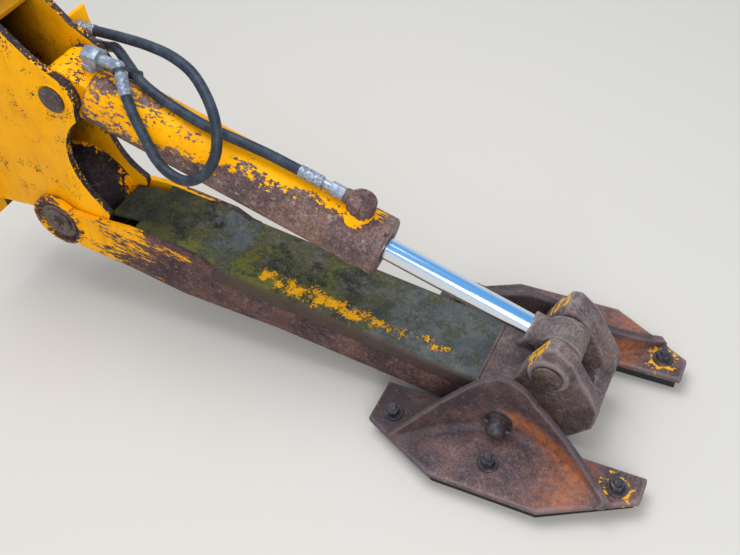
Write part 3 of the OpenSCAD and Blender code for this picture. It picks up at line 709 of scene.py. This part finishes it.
# %% World
world = bpy.data.worlds.new("world")
bpy.context.scene.world = world
world.use_nodes = True
tree = world.node_tree
tree.nodes.clear()
look = add(tree, "SeparateXYZ", (add(tree, "TexCoord", out="Generated"),), out="Z")
climb = add(tree, "MapRange", (look, 0.0, 0.75))
sky = add(tree, "Mix", {0: climb, 6: "#EDF2F5", 7: "#63AEF2"}, out=2, data_type="RGBA")
glossy = add(tree, "LightPath", out="Is Glossy Ray")
shown = add(tree, "Mix", {0: glossy, 6: "#F4F6F8", 7: sky}, out=2, data_type="RGBA")
bright = add(tree, "MapRange", (glossy, 0.0, 1.0, 0.62, 1.0))
backdrop = add(tree, "Background", {"Color": shown, "Strength": bright})
add(tree, "OutputWorld", {"Surface": backdrop}, out=None)
bpy.context.scene.view_settings.view_transform = "Standard"
print("world nodes", len(tree.nodes))

# %% [markdown]
# Paint wears where a part is rubbed, so each pattern is easier to place along the leg or along the cylinder
# than in the part's own axes. A Mapping node of the kind Texture turns a point into such a frame. Patterns
# are drawn from noise whose size is given in millimetres, and finishes are built up in layers, as dirt and
# paint are.

# %% Frames and layers
LEG = {"Location": tuple(PIVOT), "Rotation": (0, LEG_SLOPE, 0)}
CYLINDER = {"Location": tuple(BASE_PIN), "Rotation": (0, CYLINDER_SLOPE, 0)}
PART = {}


def place_in(tree, axes):
    """The point's place in the given frame, in metres."""
    here = add(tree, "TexCoord", out="Object")
    return add(tree, "Mapping", {"Vector": here, **axes}, vector_type="TEXTURE")


def cloud(p, size, detail=5.0, rough=0.6):
    """Sockets of a noise whose largest patches measure about size mm."""
    return {"Vector": p, "Scale": 1 / (size * MM), "Detail": detail, "Roughness": rough}


def layered(tree, colour, *layers):
    """Each layer (share, tone) covers what lies below it by its share, from 0 to 1."""
    for share, tone in layers:
        colour = add(tree, "Mix", {0: share, 6: colour, 7: tone}, out=2, data_type="RGBA")
    return colour


print("leg's frame at", LEG["Location"], "cylinder's at", CYLINDER["Location"])

# %% [markdown]
# Bare steel out of doors turns into layers of rust: dark violet-brown scale, warmer brown where water runs,
# and a paler film of dust. Three patterns, with patches of 85 mm, 14 mm and grains of 4 mm, are laid over
# each other. Real grains of rust are finer than a millimetre; they are drawn coarser, because finer ones
# are lost in the render.

# %% Rust
PATCH, SPOT, GRAIN = 85, 14, 4.4


def rusted(tree, p, dark, warm, pale):
    """Colour and height of rust: patches choose between dark and warm, spots lay pale dust over 0 to 0.6 of
    it, and grains make it 0.6 to 1.36 times as bright. The height is spots + grains."""
    patches = add(tree, "TexNoise", cloud(p, PATCH, 6, 0.68))
    spots = add(tree, "TexNoise", cloud(p, SPOT, 6, 0.7))
    grains = add(tree, "TexNoise", cloud(p, GRAIN, 4))
    warmth = add(tree, "MapRange", (patches, 0.38, 0.66), interpolation_type="SMOOTHSTEP")
    dust = add(tree, "MapRange", (spots, 0.5, 0.72, 0.0, 0.6), interpolation_type="SMOOTHSTEP")
    speck = add(tree, "MapRange", (grains, 0.35, 0.65, 0.6, 1.36))
    colour = layered(tree, dark, (warmth, warm), (dust, pale))
    colour = add(tree, "VectorMath", {0: colour, "Scale": speck}, operation="SCALE")
    return colour, add(tree, "Math", (spots, grains), operation="ADD")


print("sizes of rust, mm", PATCH, SPOT, GRAIN)

# %% [markdown]
# Enamel over rust is one finish with two layers. A number says how much paint is left at a place; two sizes
# of noise are added to it, so its edge turns ragged, and where the sum is above zero there is paint. A thin
# brown line of primer shows where it breaks off. Two materials on one mesh would need its faces cut along
# every chip.

# %% Worn enamel
def torn(tree, coarse, fine, reach):
    """Two noises, given by their sockets, added and spread from -reach to reach."""
    both = add(tree, "Math", (add(tree, "TexNoise", coarse), add(tree, "TexNoise", fine)), operation="ADD")
    return add(tree, "MapRange", (both, 0.5, 1.5, -reach, reach))


def enamel_over(tree, p, left, rust, rust_height, paint, old):
    """Colour, film and height of enamel where left is above zero, over rust. The film is 1 on paint and 0
    on rust; the height is half the film plus the rust's height where the film is gone."""
    film = add(tree, "MapRange", (left, -0.012, 0.012), interpolation_type="SMOOTHSTEP")
    lip = add(tree, "MapRange", (left, 0.02, 0.09, 0.5, 0.0), interpolation_type="SMOOTHSTEP")
    weather = add(tree, "TexNoise", cloud(p, 90, 3))
    faded = add(tree, "MapRange", (weather, 0.4, 0.7), interpolation_type="SMOOTHSTEP")
    drawn = add(tree, "Mapping", {"Vector": p, "Scale": (1, 1, 0.2)})
    streaks = add(tree, "TexNoise", cloud(drawn, 22, 6, 0.7))
    stain = add(tree, "MapRange", (streaks, 0.5, 0.75, 0.0, 0.42), interpolation_type="SMOOTHSTEP")
    enamel = layered(tree, paint, (faded, old), (stain, "#B87A10"), (lip, "#7A5214"))
    bare = add(tree, "Math", (1.0, film), operation="SUBTRACT")
    grain = add(tree, "Math", (rust_height, bare), operation="MULTIPLY")
    height = add(tree, "Math", (film, 0.5, grain), operation="MULTIPLY_ADD")
    return layered(tree, rust, (film, enamel)), film, height


def worn_paint(name, axes, keep, rust_tones, paint="#FFB303", old="#F3A502", ragged=1.0, stretch=(1, 1, 1),
               bare_rough=0.62, sizes=(45, 8), painted_shade=None):
    """Enamel over rust: keep gives how much paint is left, about -1 to 1, sizes the patches in mm that tear
    its edge, and the last argument how much painted shade, a dark brown, lies on top. Gloss enamel weathers
    to a roughness of 0.45 and hardly shines."""
    material, tree = blank(name)
    p = place_in(tree, axes)
    drawn = add(tree, "Mapping", {"Vector": p, "Scale": stretch})
    tear = torn(tree, cloud(drawn, sizes[0], 4), cloud(drawn, sizes[1], 4, 0.65), ragged)
    left = add(tree, "Math", (keep(tree, p), tear), operation="ADD")
    colour, film, height = enamel_over(tree, p, left, *rusted(tree, p, *rust_tones), paint, old)
    if painted_shade:
        # painted shade: a dark brown laid over what lies between the plates
        colour = layered(tree, colour, (painted_shade(tree, p), "#2A1C08"))
    roughness = add(tree, "MapRange", (film, 0.0, 1.0, bare_rough, 0.45))
    close(tree, colour, roughness, height, 0.35, Specular_IOR_Level=0.11)
    return material


print("enamel in linear light", [round(c, 3) for c in hue("#FFB303")[:3]])

# %% [markdown]
# The bracket is flame-cut plate in yellow enamel. Its faces keep nearly all their paint, with small dark
# chips, but the enamel has gone from the cut edges, which show as slate-grey bands. The plates stand across
# Y, so the surface's own direction tells a face from a cut edge. Between the plates a dark brown is painted
# as shade, where the rest of the machine keeps the light out.

# %% Enamel of the bracket
def facing(tree, axis):
    """How squarely the surface faces along one axis, 0 to 1: the size of its normal's part along that
    axis."""
    normal = add(tree, "TexCoord", out="Normal")
    part = add(tree, "SeparateXYZ", (normal,), out=axis)
    return add(tree, "Math", (part,), operation="ABSOLUTE")


def on_faces(tree, p):
    """Nearly full on the faces, and nearly gone on the cut edges."""
    return add(tree, "MapRange", (facing(tree, "Y"), 0.45, 0.93, -0.3, 0.42))


def everywhere(tree, p):
    """Nearly full all over."""
    return add(tree, "MapRange", (facing(tree, "Y"), 0.0, 1.0, 0.5, 0.62))


def thinly(tree, p):
    """The same share all over, so that only the noise decides where it is gone."""
    return 0.22


def shade_between_plates(tree, p):
    """Painted shade on whatever lies in front of the frame's plate and less than 56 mm from the middle, thick
    at the plate and gone 380 mm from it."""
    x, y, _ = add(tree, "SeparateXYZ", (p,), out=("X", "Y", "Z"))
    aside = add(tree, "Math", (y,), operation="ABSOLUTE")
    within = add(tree, "MapRange", (aside, 0.055, 0.057, 1.0, 0.0), interpolation_type="SMOOTHSTEP")
    in_front = add(tree, "MapRange", (x, 0.012, 0.015), interpolation_type="SMOOTHSTEP")
    inside = add(tree, "Math", (within, in_front), operation="MULTIPLY")
    waves = add(tree, "Math", (add(tree, "TexNoise", cloud(p, 70)), 0.12), operation="MULTIPLY")
    reach = add(tree, "Math", (x, waves), operation="ADD")
    near = add(tree, "MapRange", (reach, 0.18, 0.44, 0.94, 0.0), interpolation_type="SMOOTHSTEP")
    return add(tree, "Math", (inside, near), operation="MULTIPLY")


LUG_RUST = ("#332B2C", "#4E403B", "#70625A")
# The plate and lug enamels are darkened between the plates with painted shade.
plate_paint = worn_paint("chipped enamel on cut plate", PART, on_faces, ("#322D33", "#473B3D", "#6E656E"),
                         sizes=(40, 5), painted_shade=shade_between_plates)
lug_paint = worn_paint("chipped enamel", PART, everywhere, LUG_RUST, sizes=(40, 7), painted_shade=shade_between_plates)
cap_paint = worn_paint("chipped enamel on the lug", CYLINDER, thinly, LUG_RUST, sizes=(30, 6))
print("enamels", plate_paint.name, lug_paint.name, cap_paint.name, sep=", ")

# %% [markdown]
# A material does nothing until a mesh wears it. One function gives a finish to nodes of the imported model,
# to what stands in for them, and to new pieces, so each dressing is one line.

# %% Dressing
def dress(material, *things):
    """Gives one finish to CAD nodes, named in words, to what stands in for them, and to new pieces."""
    for thing in things:
        if isinstance(thing, str):
            meshes = [frame["nodes"][thing].data] + ([stand_in[thing].data] if thing in stand_in else [])
        else:
            meshes = [thing.data]
        for mesh in meshes:
            mesh.materials.clear()
            mesh.materials.append(material)


dress(plate_paint, "bracket_plate_near", "bracket_plate_far")
dress(cap_paint, "base_lug")
dress(lug_paint, "weld_plate", "bracket_top_plate", "hose_tab", frame_welds, pin_rings)
print("bracket dressed")

# %% [markdown]
# The barrel lies in the weather: the paint is left on its upper and far side, in a band that narrows
# towards the gland, and the rest is rubbed to violet-brown, burnished rust. Round the closed end, where the
# leg's edge and the hose rub, the band is full of bare patches.

# %% Barrel
BARREL_R = 0.06


def barrel_band(tree, p):
    """Paint where (0.85 * up + 0.5 * y) / radius exceeds a bound that climbs from -0.75 to 0.95 along the
    barrel, but never more than a cap that climbs from -0.04 to 0.5 over the first 320 mm."""
    s, y, up = add(tree, "SeparateXYZ", (p,), out=("X", "Y", "Z"))
    side = add(tree, "Math", (y, 0.5 / BARREL_R), operation="MULTIPLY")
    height = add(tree, "Math", (up, 0.85 / BARREL_R, side), operation="MULTIPLY_ADD")
    bound = add(tree, "MapRange", (s, 0.06, 0.688, -0.75, 0.95))
    cap = add(tree, "MapRange", (s, 0.06, 0.38, -0.04, 0.5), interpolation_type="SMOOTHSTEP")
    band = add(tree, "Math", (height, bound), operation="SUBTRACT")
    return add(tree, "Math", (band, cap), operation="MINIMUM")


BARREL_RUST = ("#5C4A4B", "#86695E", "#B4A6A6")
barrel_paint = worn_paint("enamel worn off the barrel", CYLINDER, barrel_band, BARREL_RUST, ragged=0.95,
                          bare_rough=0.42, stretch=(0.6, 1, 1))
dress(barrel_paint, "barrel")
print("barrel dressed")

# %% [markdown]
# The leg's sides scrape past the bracket and through brush. Enamel is left round the pivot, torn by long
# scratches, and thins out to bare brown steel within a quarter of a metre. The scratches come from the same
# noise, stretched along the leg.

# %% Leg plates
def near_the_eye(tree, p):
    """Paint that thins from 0.55 to -0.62 along the leg, plus 3.4 times the height above its middle, but no
    more than a ring bound round the pivot, which is low on the eye's rim; flecks along the top edge reach
    further."""
    u, _, w = add(tree, "SeparateXYZ", (p,), out=("X", "Y", "Z"))
    reach = add(tree, "MapRange", (u, 0.02, 0.36, 0.55, -0.62))
    slope = add(tree, "Math", (w, 3.4, reach), operation="MULTIPLY_ADD")
    distance = add(tree, "VectorMath", (add(tree, "CombineXYZ", (u, w)),), out=1, operation="LENGTH")
    ring = add(tree, "MapRange", (distance, 0.056, 0.072, -0.12, 0.3), interpolation_type="SMOOTHSTEP")
    round_eye = add(tree, "Math", (slope, ring), operation="MINIMUM")
    run = add(tree, "MapRange", (u, 0.31, 0.36, -0.36, -1.2), interpolation_type="SMOOTHSTEP")
    high = add(tree, "MapRange", (w, -0.01, 0.03, -1.0, 0.0), interpolation_type="SMOOTHSTEP")
    flecks = add(tree, "Math", (run, high), operation="ADD")
    return add(tree, "Math", (round_eye, flecks), operation="MAXIMUM")


SIDE_RUST = ("#46363A", "#6B5048", "#8A7A7C")
side_paint = worn_paint("enamel worn off the leg's sides", LEG, near_the_eye, SIDE_RUST, ragged=0.95,
                        stretch=(0.32, 1, 1.5), sizes=(30, 6))
dress(side_paint, "leg_side_near", "leg_side_far", "leg_bottom", leg_seams)
print("leg sides dressed")

# %% [markdown]
# Water stands on the leg's flat top, so it grew a green film, olive where it is thin and yellow-green where
# it is thick, over brown-grey plate. The fold in the plate is washed clean, and the bluish grey laid on it
# and towards the fork is a painted sky sheen. Towards the bracket the plate is darkened with painted shade of
# the barrel and the bracket. Along the near edge a broken row of enamel flecks is left. All of it is one
# material in layers, because moss, dirt and paint share every patch.

# %% Mossy deck
def fleck_band(tree, p):
    """Paint between 23 and 70 mm on the near side of the middle, from 490 to 750 mm along, and thinner up
    to 930."""
    u, y, _ = add(tree, "SeparateXYZ", (p,), out=("X", "Y", "Z"))
    shifted = add(tree, "Math", (y, 0.047), operation="ADD")
    off = add(tree, "Math", (shifted,), operation="ABSOLUTE")
    band = add(tree, "MapRange", (off, 0.008, 0.036, 0.12, -0.75))
    run = add(tree, "MapRange", (u, 0.72, 0.82, 0.0, -0.32), interpolation_type="SMOOTHSTEP")
    start = add(tree, "MapRange", (u, 0.46, 0.52, -1.0, 0.0), interpolation_type="SMOOTHSTEP")
    end = add(tree, "MapRange", (u, 0.93, 0.97, 0.0, -1.0), interpolation_type="SMOOTHSTEP")
    both_ends = add(tree, "Math", (start, end), operation="ADD")
    extent = add(tree, "Math", (run, both_ends), operation="ADD")
    return add(tree, "Math", (band, extent), operation="ADD")


def clean_and_sky_sheen(tree, u):
    """How clean the plate is, which is also the share of a painted bluish sky sheen: 0.75 on the fold, from
    350 to 450 mm along the leg, and towards the fork.
    """
    rise = add(tree, "MapRange", (u, 0.350, 0.364, 0.0, 0.75), interpolation_type="SMOOTHSTEP")
    fall = add(tree, "MapRange", (u, 0.42, 0.45, 1.0, 0.0), interpolation_type="SMOOTHSTEP")
    fold = add(tree, "Math", (rise, fall), operation="MULTIPLY")
    tip = add(tree, "MapRange", (u, 0.62, 0.92, 0.0, 0.75), interpolation_type="SMOOTHSTEP")
    return add(tree, "Math", (fold, tip), operation="MAXIMUM")


def mossy():
    """Plate, clean steel with a painted bluish sky sheen, thin and thick moss, pale and dark lichen specks,
    painted shade near the bracket, rusty edges, and flecks of enamel, laid over each other in that order.
    Moss grows where patches + spots exceed a lack of damp."""
    material, tree = blank("dirty plate with moss")
    p = place_in(tree, LEG)
    u, y, _ = add(tree, "SeparateXYZ", (p,), out=("X", "Y", "Z"))
    patches = add(tree, "TexNoise", cloud(p, 55, 6, 0.65))
    spots = add(tree, "TexNoise", cloud(p, 11, 6, 0.75))
    grains = add(tree, "TexNoise", cloud(p, 4.8, 5, 0.75))
    dirt = add(tree, "TexNoise", cloud(p, 40, 6, 0.65))
    clean = clean_and_sky_sheen(tree, u)
    near_side = add(tree, "MapRange", (y, -0.06, 0.0, 0.18, 0.0), interpolation_type="SMOOTHSTEP")
    near_end = add(tree, "MapRange", (u, 0.43, 0.66, 1.0, 0.0), interpolation_type="SMOOTHSTEP")
    damp = add(tree, "Math", (near_side, near_end), operation="MULTIPLY")
    dry = add(tree, "MapRange", {0: clean, 3: 1.0, 4: 1.13})
    lack = add(tree, "Math", (dry, damp), operation="SUBTRACT")
    supply = add(tree, "Math", (patches, spots), operation="ADD")
    growth = add(tree, "Math", (supply, lack), operation="SUBTRACT")
    off_middle = add(tree, "Math", (y,), operation="ABSOLUTE")
    # The dark #1B1C19 from 240 to 360 mm along the leg is painted shade, where the barrel and bracket shade
    # the deck.
    shares = [(add(tree, "MapRange", steps, interpolation_type="SMOOTHSTEP"), tone) for steps, tone in [
        ((growth, -0.12, 0.05, 0.0, 0.8), "#45472B"), ((growth, 0.03, 0.2, 0.0, 0.85), "#6C6E35"),
        ((grains, 0.54, 0.7, 0.0, 0.5), "#8E9072"), ((grains, 0.3, 0.46, 0.6, 0.0), "#20211B"),
        ((u, 0.24, 0.36, 0.62, 0.0), "#1B1C19"), ((off_middle, 0.073, 0.084, 0.0, 0.85), "#4E3D38")]]
    rubbed = add(tree, "MapRange", (dirt, 0.42, 0.58), interpolation_type="SMOOTHSTEP")
    # bright is the share of #626B71, a bluish grey painted as sky sheen on the clean fold and towards the
    # fork.
    bright = add(tree, "Math", (clean, 0.85), operation="MULTIPLY")
    colour = layered(tree, "#2A2A26", (rubbed, "#625E56"), (bright, "#626B71"), *shares)
    tear = torn(tree, cloud(p, 26), cloud(p, 5, 5, 0.8), 1.3)
    left = add(tree, "Math", (fleck_band(tree, p), tear), operation="ADD")
    height = add(tree, "Math", (grains, spots), operation="ADD")
    colour, _, height = enamel_over(tree, p, left, colour, height, "#EDAA10", "#D99A12")
    close(tree, colour, 0.8, height, 0.8, Specular_IOR_Level=0.25)
    return material


dress(mossy(), "leg_top")
print("deck dressed")

# %% [markdown]
# Forgings keep a rough, pitted skin. Dirt stays in their hollows, corners and ridges are rubbed pale, and
# water draws orange lines below the pins. The ridge attribute from the remesh says which is which, so the
# wear follows the real shape and not a painted picture of it.

# %% Forged steel
def bare_forging(name, axes, rust_tones, worn, rough=0.5, paint_left=None, orange=None, soot=None,
                 dirt="#2C2222"):
    """Rust, with pale ridges, dirt in the hollows, and where asked orange streaks, soot and a rest of
    enamel. Ridges are rubbed where ridge + 3 * patches - 1.5 passes 0.5, and fully at 1.4."""
    material, tree = blank(name)
    p = place_in(tree, axes)
    colour, grit = rusted(tree, p, *rust_tones)
    ridge = add(tree, "Attribute", out="Fac", attribute_name="ridge")
    patches = add(tree, "Math", (add(tree, "TexNoise", cloud(p, 22, 6, 0.7)), 3.0), operation="MULTIPLY")
    patchy = add(tree, "Math", (patches, 1.5), operation="SUBTRACT")
    raised = add(tree, "Math", (ridge, patchy), operation="ADD")
    rubbed = add(tree, "MapRange", (raised, 0.5, 1.4, 0.0, 0.36), interpolation_type="SMOOTHSTEP")
    hollow = add(tree, "MapRange", (ridge, -1.2, -0.1, 0.36, 0.0), interpolation_type="SMOOTHSTEP")
    layers = [(hollow, dirt)]  # from the lowest to the uppermost
    if orange:
        layers.append((orange(tree, p), "#C0703F"))
    layers.append((rubbed, worn))
    if soot:
        layers.append((soot(tree, p), dirt))
    colour = layered(tree, colour, *layers)
    pits = add(tree, "MapRange", (add(tree, "TexNoise", cloud(p, 5, 4, 0.7)), 0.3, 0.55),
               interpolation_type="SMOOTHSTEP")
    height = add(tree, "Math", (pits, 0.6, grit), operation="MULTIPLY_ADD")
    roughness = add(tree, "MapRange", {0: rubbed, 3: rough, 4: rough - 0.12})
    if paint_left:
        tear = add(tree, "MapRange", (add(tree, "TexNoise", cloud(p, 15, 6, 0.7)), 0.3, 0.7, -0.95, 0.95))
        left = add(tree, "Math", (paint_left(tree, p), tear), operation="ADD")
        colour, _, height = enamel_over(tree, p, left, colour, height, "#EDAE14", "#D79A1A")
    close(tree, colour, roughness, height, 0.7, Specular_IOR_Level=0.4)
    return material


nut_rust = bare_forging("burnished nut", CYLINDER, ("#5C4A4B", "#7D6258", "#A3948F"), "#94888C", 0.42)
eye_rust = bare_forging("rubbed rod eye", CYLINDER, ("#544B51", "#77675F", "#979098"), "#A39AA0", 0.42)
dress(nut_rust, "gland_nut", lug_weld)
dress(eye_rust, "rod_eye")
print("nut and eye dressed")

# %% [markdown]
# The fork kept a little yellow on the slanting rear of its ears, where nothing rubs. The surface's own
# direction finds those two facets, wherever they lie.

# %% Fork
def rear_facets(tree, p):
    """Paint on the rear of each ear: where the surface looks back along the leg, above 150 mm, beyond 45 mm
    from the middle."""
    _, y, w = add(tree, "SeparateXYZ", (p,), out=("X", "Y", "Z"))
    normal = add(tree, "TexCoord", out="Normal")
    back = add(tree, "VectorMath", (normal, tuple(-ALONG_LEG)), out=1, operation="DOT_PRODUCT")
    facet = add(tree, "MapRange", (back, 0.30, 0.75, -1.4, 0.22))
    above = add(tree, "MapRange", (w, 0.150, 0.172, -2.0, 0.0), interpolation_type="SMOOTHSTEP")
    off_middle = add(tree, "Math", (y,), operation="ABSOLUTE")
    aside = add(tree, "MapRange", (off_middle, 0.040, 0.050, -2.0, 0.0), interpolation_type="SMOOTHSTEP")
    bounds = add(tree, "Math", (above, aside), operation="ADD")
    return add(tree, "Math", (facet, bounds), operation="ADD")


TIP_RUST = ("#56484B", "#7A645E", "#958A8E")
tip_paint = bare_forging("rubbed forging", LEG, TIP_RUST, "#9C9094", 0.46, rear_facets)
dress(tip_paint, "tip_casting", tip_seams)
print("fork dressed")

# %% [markdown]
# The shoes are pressed from plate. Their rings of paint sit under the outboard studs' washers, rust runs
# down from the pin, and a dark film lies on the walls' upper edges.

# %% Shoes
STUD_AT = np.array(STUD_PLACES[-1]) * MM + [SOLE[0], 0]


def round_studs(tree, p):
    """Broken rings of paint round the outboard stud of each shoe, 20 to 38 mm from its middle, on the sole
    only."""
    x, y, z = add(tree, "SeparateXYZ", (p,), out=("X", "Y", "Z"))
    off_middle = add(tree, "Math", (y,), operation="ABSOLUTE")
    aside = add(tree, "Math", (off_middle, STUD_AT[1]), operation="SUBTRACT")
    along = add(tree, "Math", (x, STUD_AT[0]), operation="SUBTRACT")
    distance = add(tree, "VectorMath", (add(tree, "CombineXYZ", (along, aside)),), out=1, operation="LENGTH")
    near = add(tree, "MapRange", (distance, 0.022, 0.044, 0.06, -0.8))
    low = add(tree, "MapRange", (z, -0.428, -0.424, 0.0, -2.0), interpolation_type="SMOOTHSTEP")
    return add(tree, "Math", (near, low), operation="ADD")


def below_the_pin(tree, p):
    """Orange within 40 mm of a line that runs from the pin down and outboard, broken up by noise of 10
    mm."""
    x, _, z = add(tree, "SeparateXYZ", (p,), out=("X", "Y", "Z"))
    along = add(tree, "MapRange", (x, 1.29, 1.50))
    line = add(tree, "MapRange", {0: along, 3: -0.385, 4: -0.432})
    above = add(tree, "Math", (z, line), operation="SUBTRACT")
    off = add(tree, "Math", (above,), operation="ABSOLUTE")
    close_by = add(tree, "MapRange", (off, 0.0, 0.04, 1.0, 0.0), interpolation_type="SMOOTHSTEP")
    start = add(tree, "MapRange", (x, 1.27, 1.31), interpolation_type="SMOOTHSTEP")
    end = add(tree, "MapRange", (x, 1.43, 1.49, 1.0, 0.0), interpolation_type="SMOOTHSTEP")
    inside = add(tree, "Math", (start, end), operation="MULTIPLY")
    streak = add(tree, "Math", (close_by, inside), operation="MULTIPLY")
    drawn = add(tree, "Mapping", {"Vector": p, "Scale": (0.8, 1, 0.8)})
    drops = add(tree, "MapRange", (add(tree, "TexNoise", cloud(drawn, 10, 6, 0.8)), 0.34, 0.62, 0.15, 1.0),
                interpolation_type="SMOOTHSTEP")
    return add(tree, "Math", (streak, drops), operation="MULTIPLY")


def on_the_wall(tree, p):
    """Dark film on the inboard end and the upper half of the walls, most on their upper edge, which looks
    up."""
    x, _, z = add(tree, "SeparateXYZ", (p,), out=("X", "Y", "Z"))
    above = add(tree, "MapRange", (z, -0.416, -0.404), interpolation_type="SMOOTHSTEP")
    looks_up = facing(tree, "Z")
    edge = add(tree, "MapRange", (looks_up, 0.3, 0.8, 0.0, 0.62), interpolation_type="SMOOTHSTEP")
    rim = add(tree, "Math", (edge, above), operation="MULTIPLY")
    upper = add(tree, "MapRange", (z, -0.40, -0.33, 0.0, 0.36), interpolation_type="SMOOTHSTEP")
    inboard = add(tree, "MapRange", (x, 1.12, 1.22, 0.5, 0.0), interpolation_type="SMOOTHSTEP")
    half = add(tree, "Math", (upper, inboard), operation="MAXIMUM")
    return add(tree, "Math", (rim, half), operation="MAXIMUM")


SHOE_RUST = ("#4C3C3F", "#775853", "#837680")
shoe_rust = bare_forging("rusted pressing", PART, SHOE_RUST, "#8B7D84", 0.52, round_studs, below_the_pin,
                         on_the_wall)
dress(shoe_rust, *SHOE_SIDES)
print("shoes dressed")

# %% [markdown]
# The port block on the gland was welded on before painting. Its top is burnished bare, and paint is left
# round its foot, so the number for the paint falls with the height above the cylinder's middle.

# %% Port block
def port_base(tree, p):
    """Paint round the foot of the port block, gone from its top."""
    up = add(tree, "SeparateXYZ", (p,), out="Z")
    return add(tree, "MapRange", (up, 0.060, 0.080, 0.12, -0.75), interpolation_type="SMOOTHSTEP")


PORT_RUST = ("#574547", "#7F6257", "#A6979A")
burnished = worn_paint("burnished rust", CYLINDER, port_base, PORT_RUST, bare_rough=0.45, stretch=(0.6, 1, 1))
dress(burnished, "gland_port")
print("port block dressed")

# %% [markdown]
# Pins and bolts are plain steel that is never painted: dark and oily at the studs, brown at the pins' ends.
# The curved plate round the leg's pivot lies in the dark, sooty with grease, and keeps some enamel on its
# far side.

# %% Dark steel
def plain_steel(name, rust_tones, rough=0.5):
    """Rust tones with a low sheen."""
    material, tree = blank(name)
    colour, height = rusted(tree, place_in(tree, PART), *rust_tones)
    close(tree, colour, rough, height, 0.25, Metallic=0.3)
    return material


def far_rest(tree, p):
    """Paint towards the far side and the lower end of the curved plate."""
    _, y, z = add(tree, "SeparateXYZ", (p,), out=("X", "Y", "Z"))
    across = add(tree, "MapRange", (y, -0.01, 0.056, -1.0, 0.2))
    down = add(tree, "MapRange", (z, -0.26, -0.15, 0.25, -0.2), interpolation_type="SMOOTHSTEP")
    return add(tree, "Math", (across, down), operation="ADD")


dress(plain_steel("oily steel", ("#35323A", "#584B48", "#7B7377")), "rod_bush", "foot_pin", "studs_near",
      "studs_far", bolts, nipple)
dress(plain_steel("brown pin steel", ("#43383A", "#6E594A", "#8A7D74"), 0.42), "leg_pin", "base_pin",
      "rod_pin_near", "rod_pin_far", pin_bolts)
# On the belly plate's lip this dark finish stands for the shade in the slit.
dress(worn_paint("sooty plate", PART, far_rest, ("#1A181C", "#332C2F", "#5A5254"), bare_rough=0.75),
      "nose_plate", nose_welds, belly_tongue)
print("pins dressed")

# %% [markdown]
# The rod is ground steel with a hard chrome plate, a mirror drawn out along its length by years of sliding.
# The fittings are zinc plated: blue-grey and even on the elbow, blotched on the sleeves, which the press
# has bruised.

# %% Chrome and zinc
def chrome_plate():
    """Mirror with a roughness of 0.12 to 0.24 in streaks 1.5 mm wide and 50 times as long."""
    material, tree = blank("hard chrome plate")
    drawn = add(tree, "Mapping", {"Vector": place_in(tree, CYLINDER), "Scale": (0.02, 1, 1)})
    streak = add(tree, "TexNoise", cloud(drawn, 1.5, 2))
    close(tree, "#E4E8EB", add(tree, "MapRange", {0: streak, 3: 0.12, 4: 0.24}), Metallic=1.0)
    return material


def zinc_plate(name, size, low, high):
    """Zinc whose crystals and blotches measure size mm, between two greys."""
    material, tree = blank(name)
    mottle = add(tree, "TexNoise", cloud(place_in(tree, PART), size, 5, 0.65))
    share = add(tree, "MapRange", (mottle, 0.36, 0.64), interpolation_type="SMOOTHSTEP")
    roughness = add(tree, "MapRange", {0: mottle, 3: 0.5, 4: 0.34})
    close(tree, layered(tree, low, (share, high)), roughness, mottle, 0.12, Metallic=0.55)
    return material


dress(chrome_plate(), "rod")
dress(zinc_plate("dull zinc plate", 12, "#868B93", "#B3B8BF"), "base_elbow", "gland_fitting", "tab_unions")
dress(zinc_plate("bruised zinc plate", 4, "#6E6E76", "#B4B8BF"), base_sleeve, gland_sleeve, *tab_sleeves)
print("chrome and zinc dressed")

# %% [markdown]
# The hoses have a rubber cover that was cured under a wound tape, so its weave is printed on them as fine
# rings. The along attribute counts the metres from the fitting, and a sine with a 6 mm period draws the
# turns, because a pattern in the part's axes would slide off the bends. The pads under the shoes are strips
# of old tyre pressed into a block, so they show layers 6 mm thick.

# %% Rubber
WRAP, LAYER = 6 * MM, 6 * MM
WAVES_PER_SCALE = 20 / (2 * math.pi)


def hose_cover():
    """Dusty black, with height sin(2 * pi * along / WRAP)."""
    material, tree = blank("hose cover")
    along = add(tree, "Attribute", out="Fac", attribute_name="along")
    phase = add(tree, "Math", (along, 2 * math.pi / WRAP), operation="MULTIPLY")
    wrap = add(tree, "Math", (phase,), operation="SINE")
    dust = add(tree, "TexNoise", cloud(place_in(tree, PART), 30, 5, 0.65))
    share = add(tree, "MapRange", (dust, 0.4, 0.7), interpolation_type="SMOOTHSTEP")
    roughness = add(tree, "MapRange", {0: dust, 3: 0.42, 4: 0.62})
    close(tree, layered(tree, "#1B222D", (share, "#38434F")), roughness, wrap, 0.15)
    return material


def laminated_rubber():
    """Bands across Z, one for each LAYER. A wave texture of scale 1 has WAVES_PER_SCALE bands in a
    metre."""
    material, tree = blank("laminated rubber")
    scale = 1 / (WAVES_PER_SCALE * LAYER)
    bands = {"Vector": place_in(tree, PART), "Scale": scale, "Distortion": 1.5, "Detail": 2.0}
    layers = add(tree, "TexWave", bands, out="Fac", bands_direction="Z")
    close(tree, layered(tree, "#18181A", (layers, "#2A2A2C")), 0.75, layers, 1.0)
    return material


dress(hose_cover(), base_hose, gland_hose, wiper, strap)
dress(laminated_rubber(), "rubber_near", "rubber_far")
print("finishes", len(bpy.data.materials))
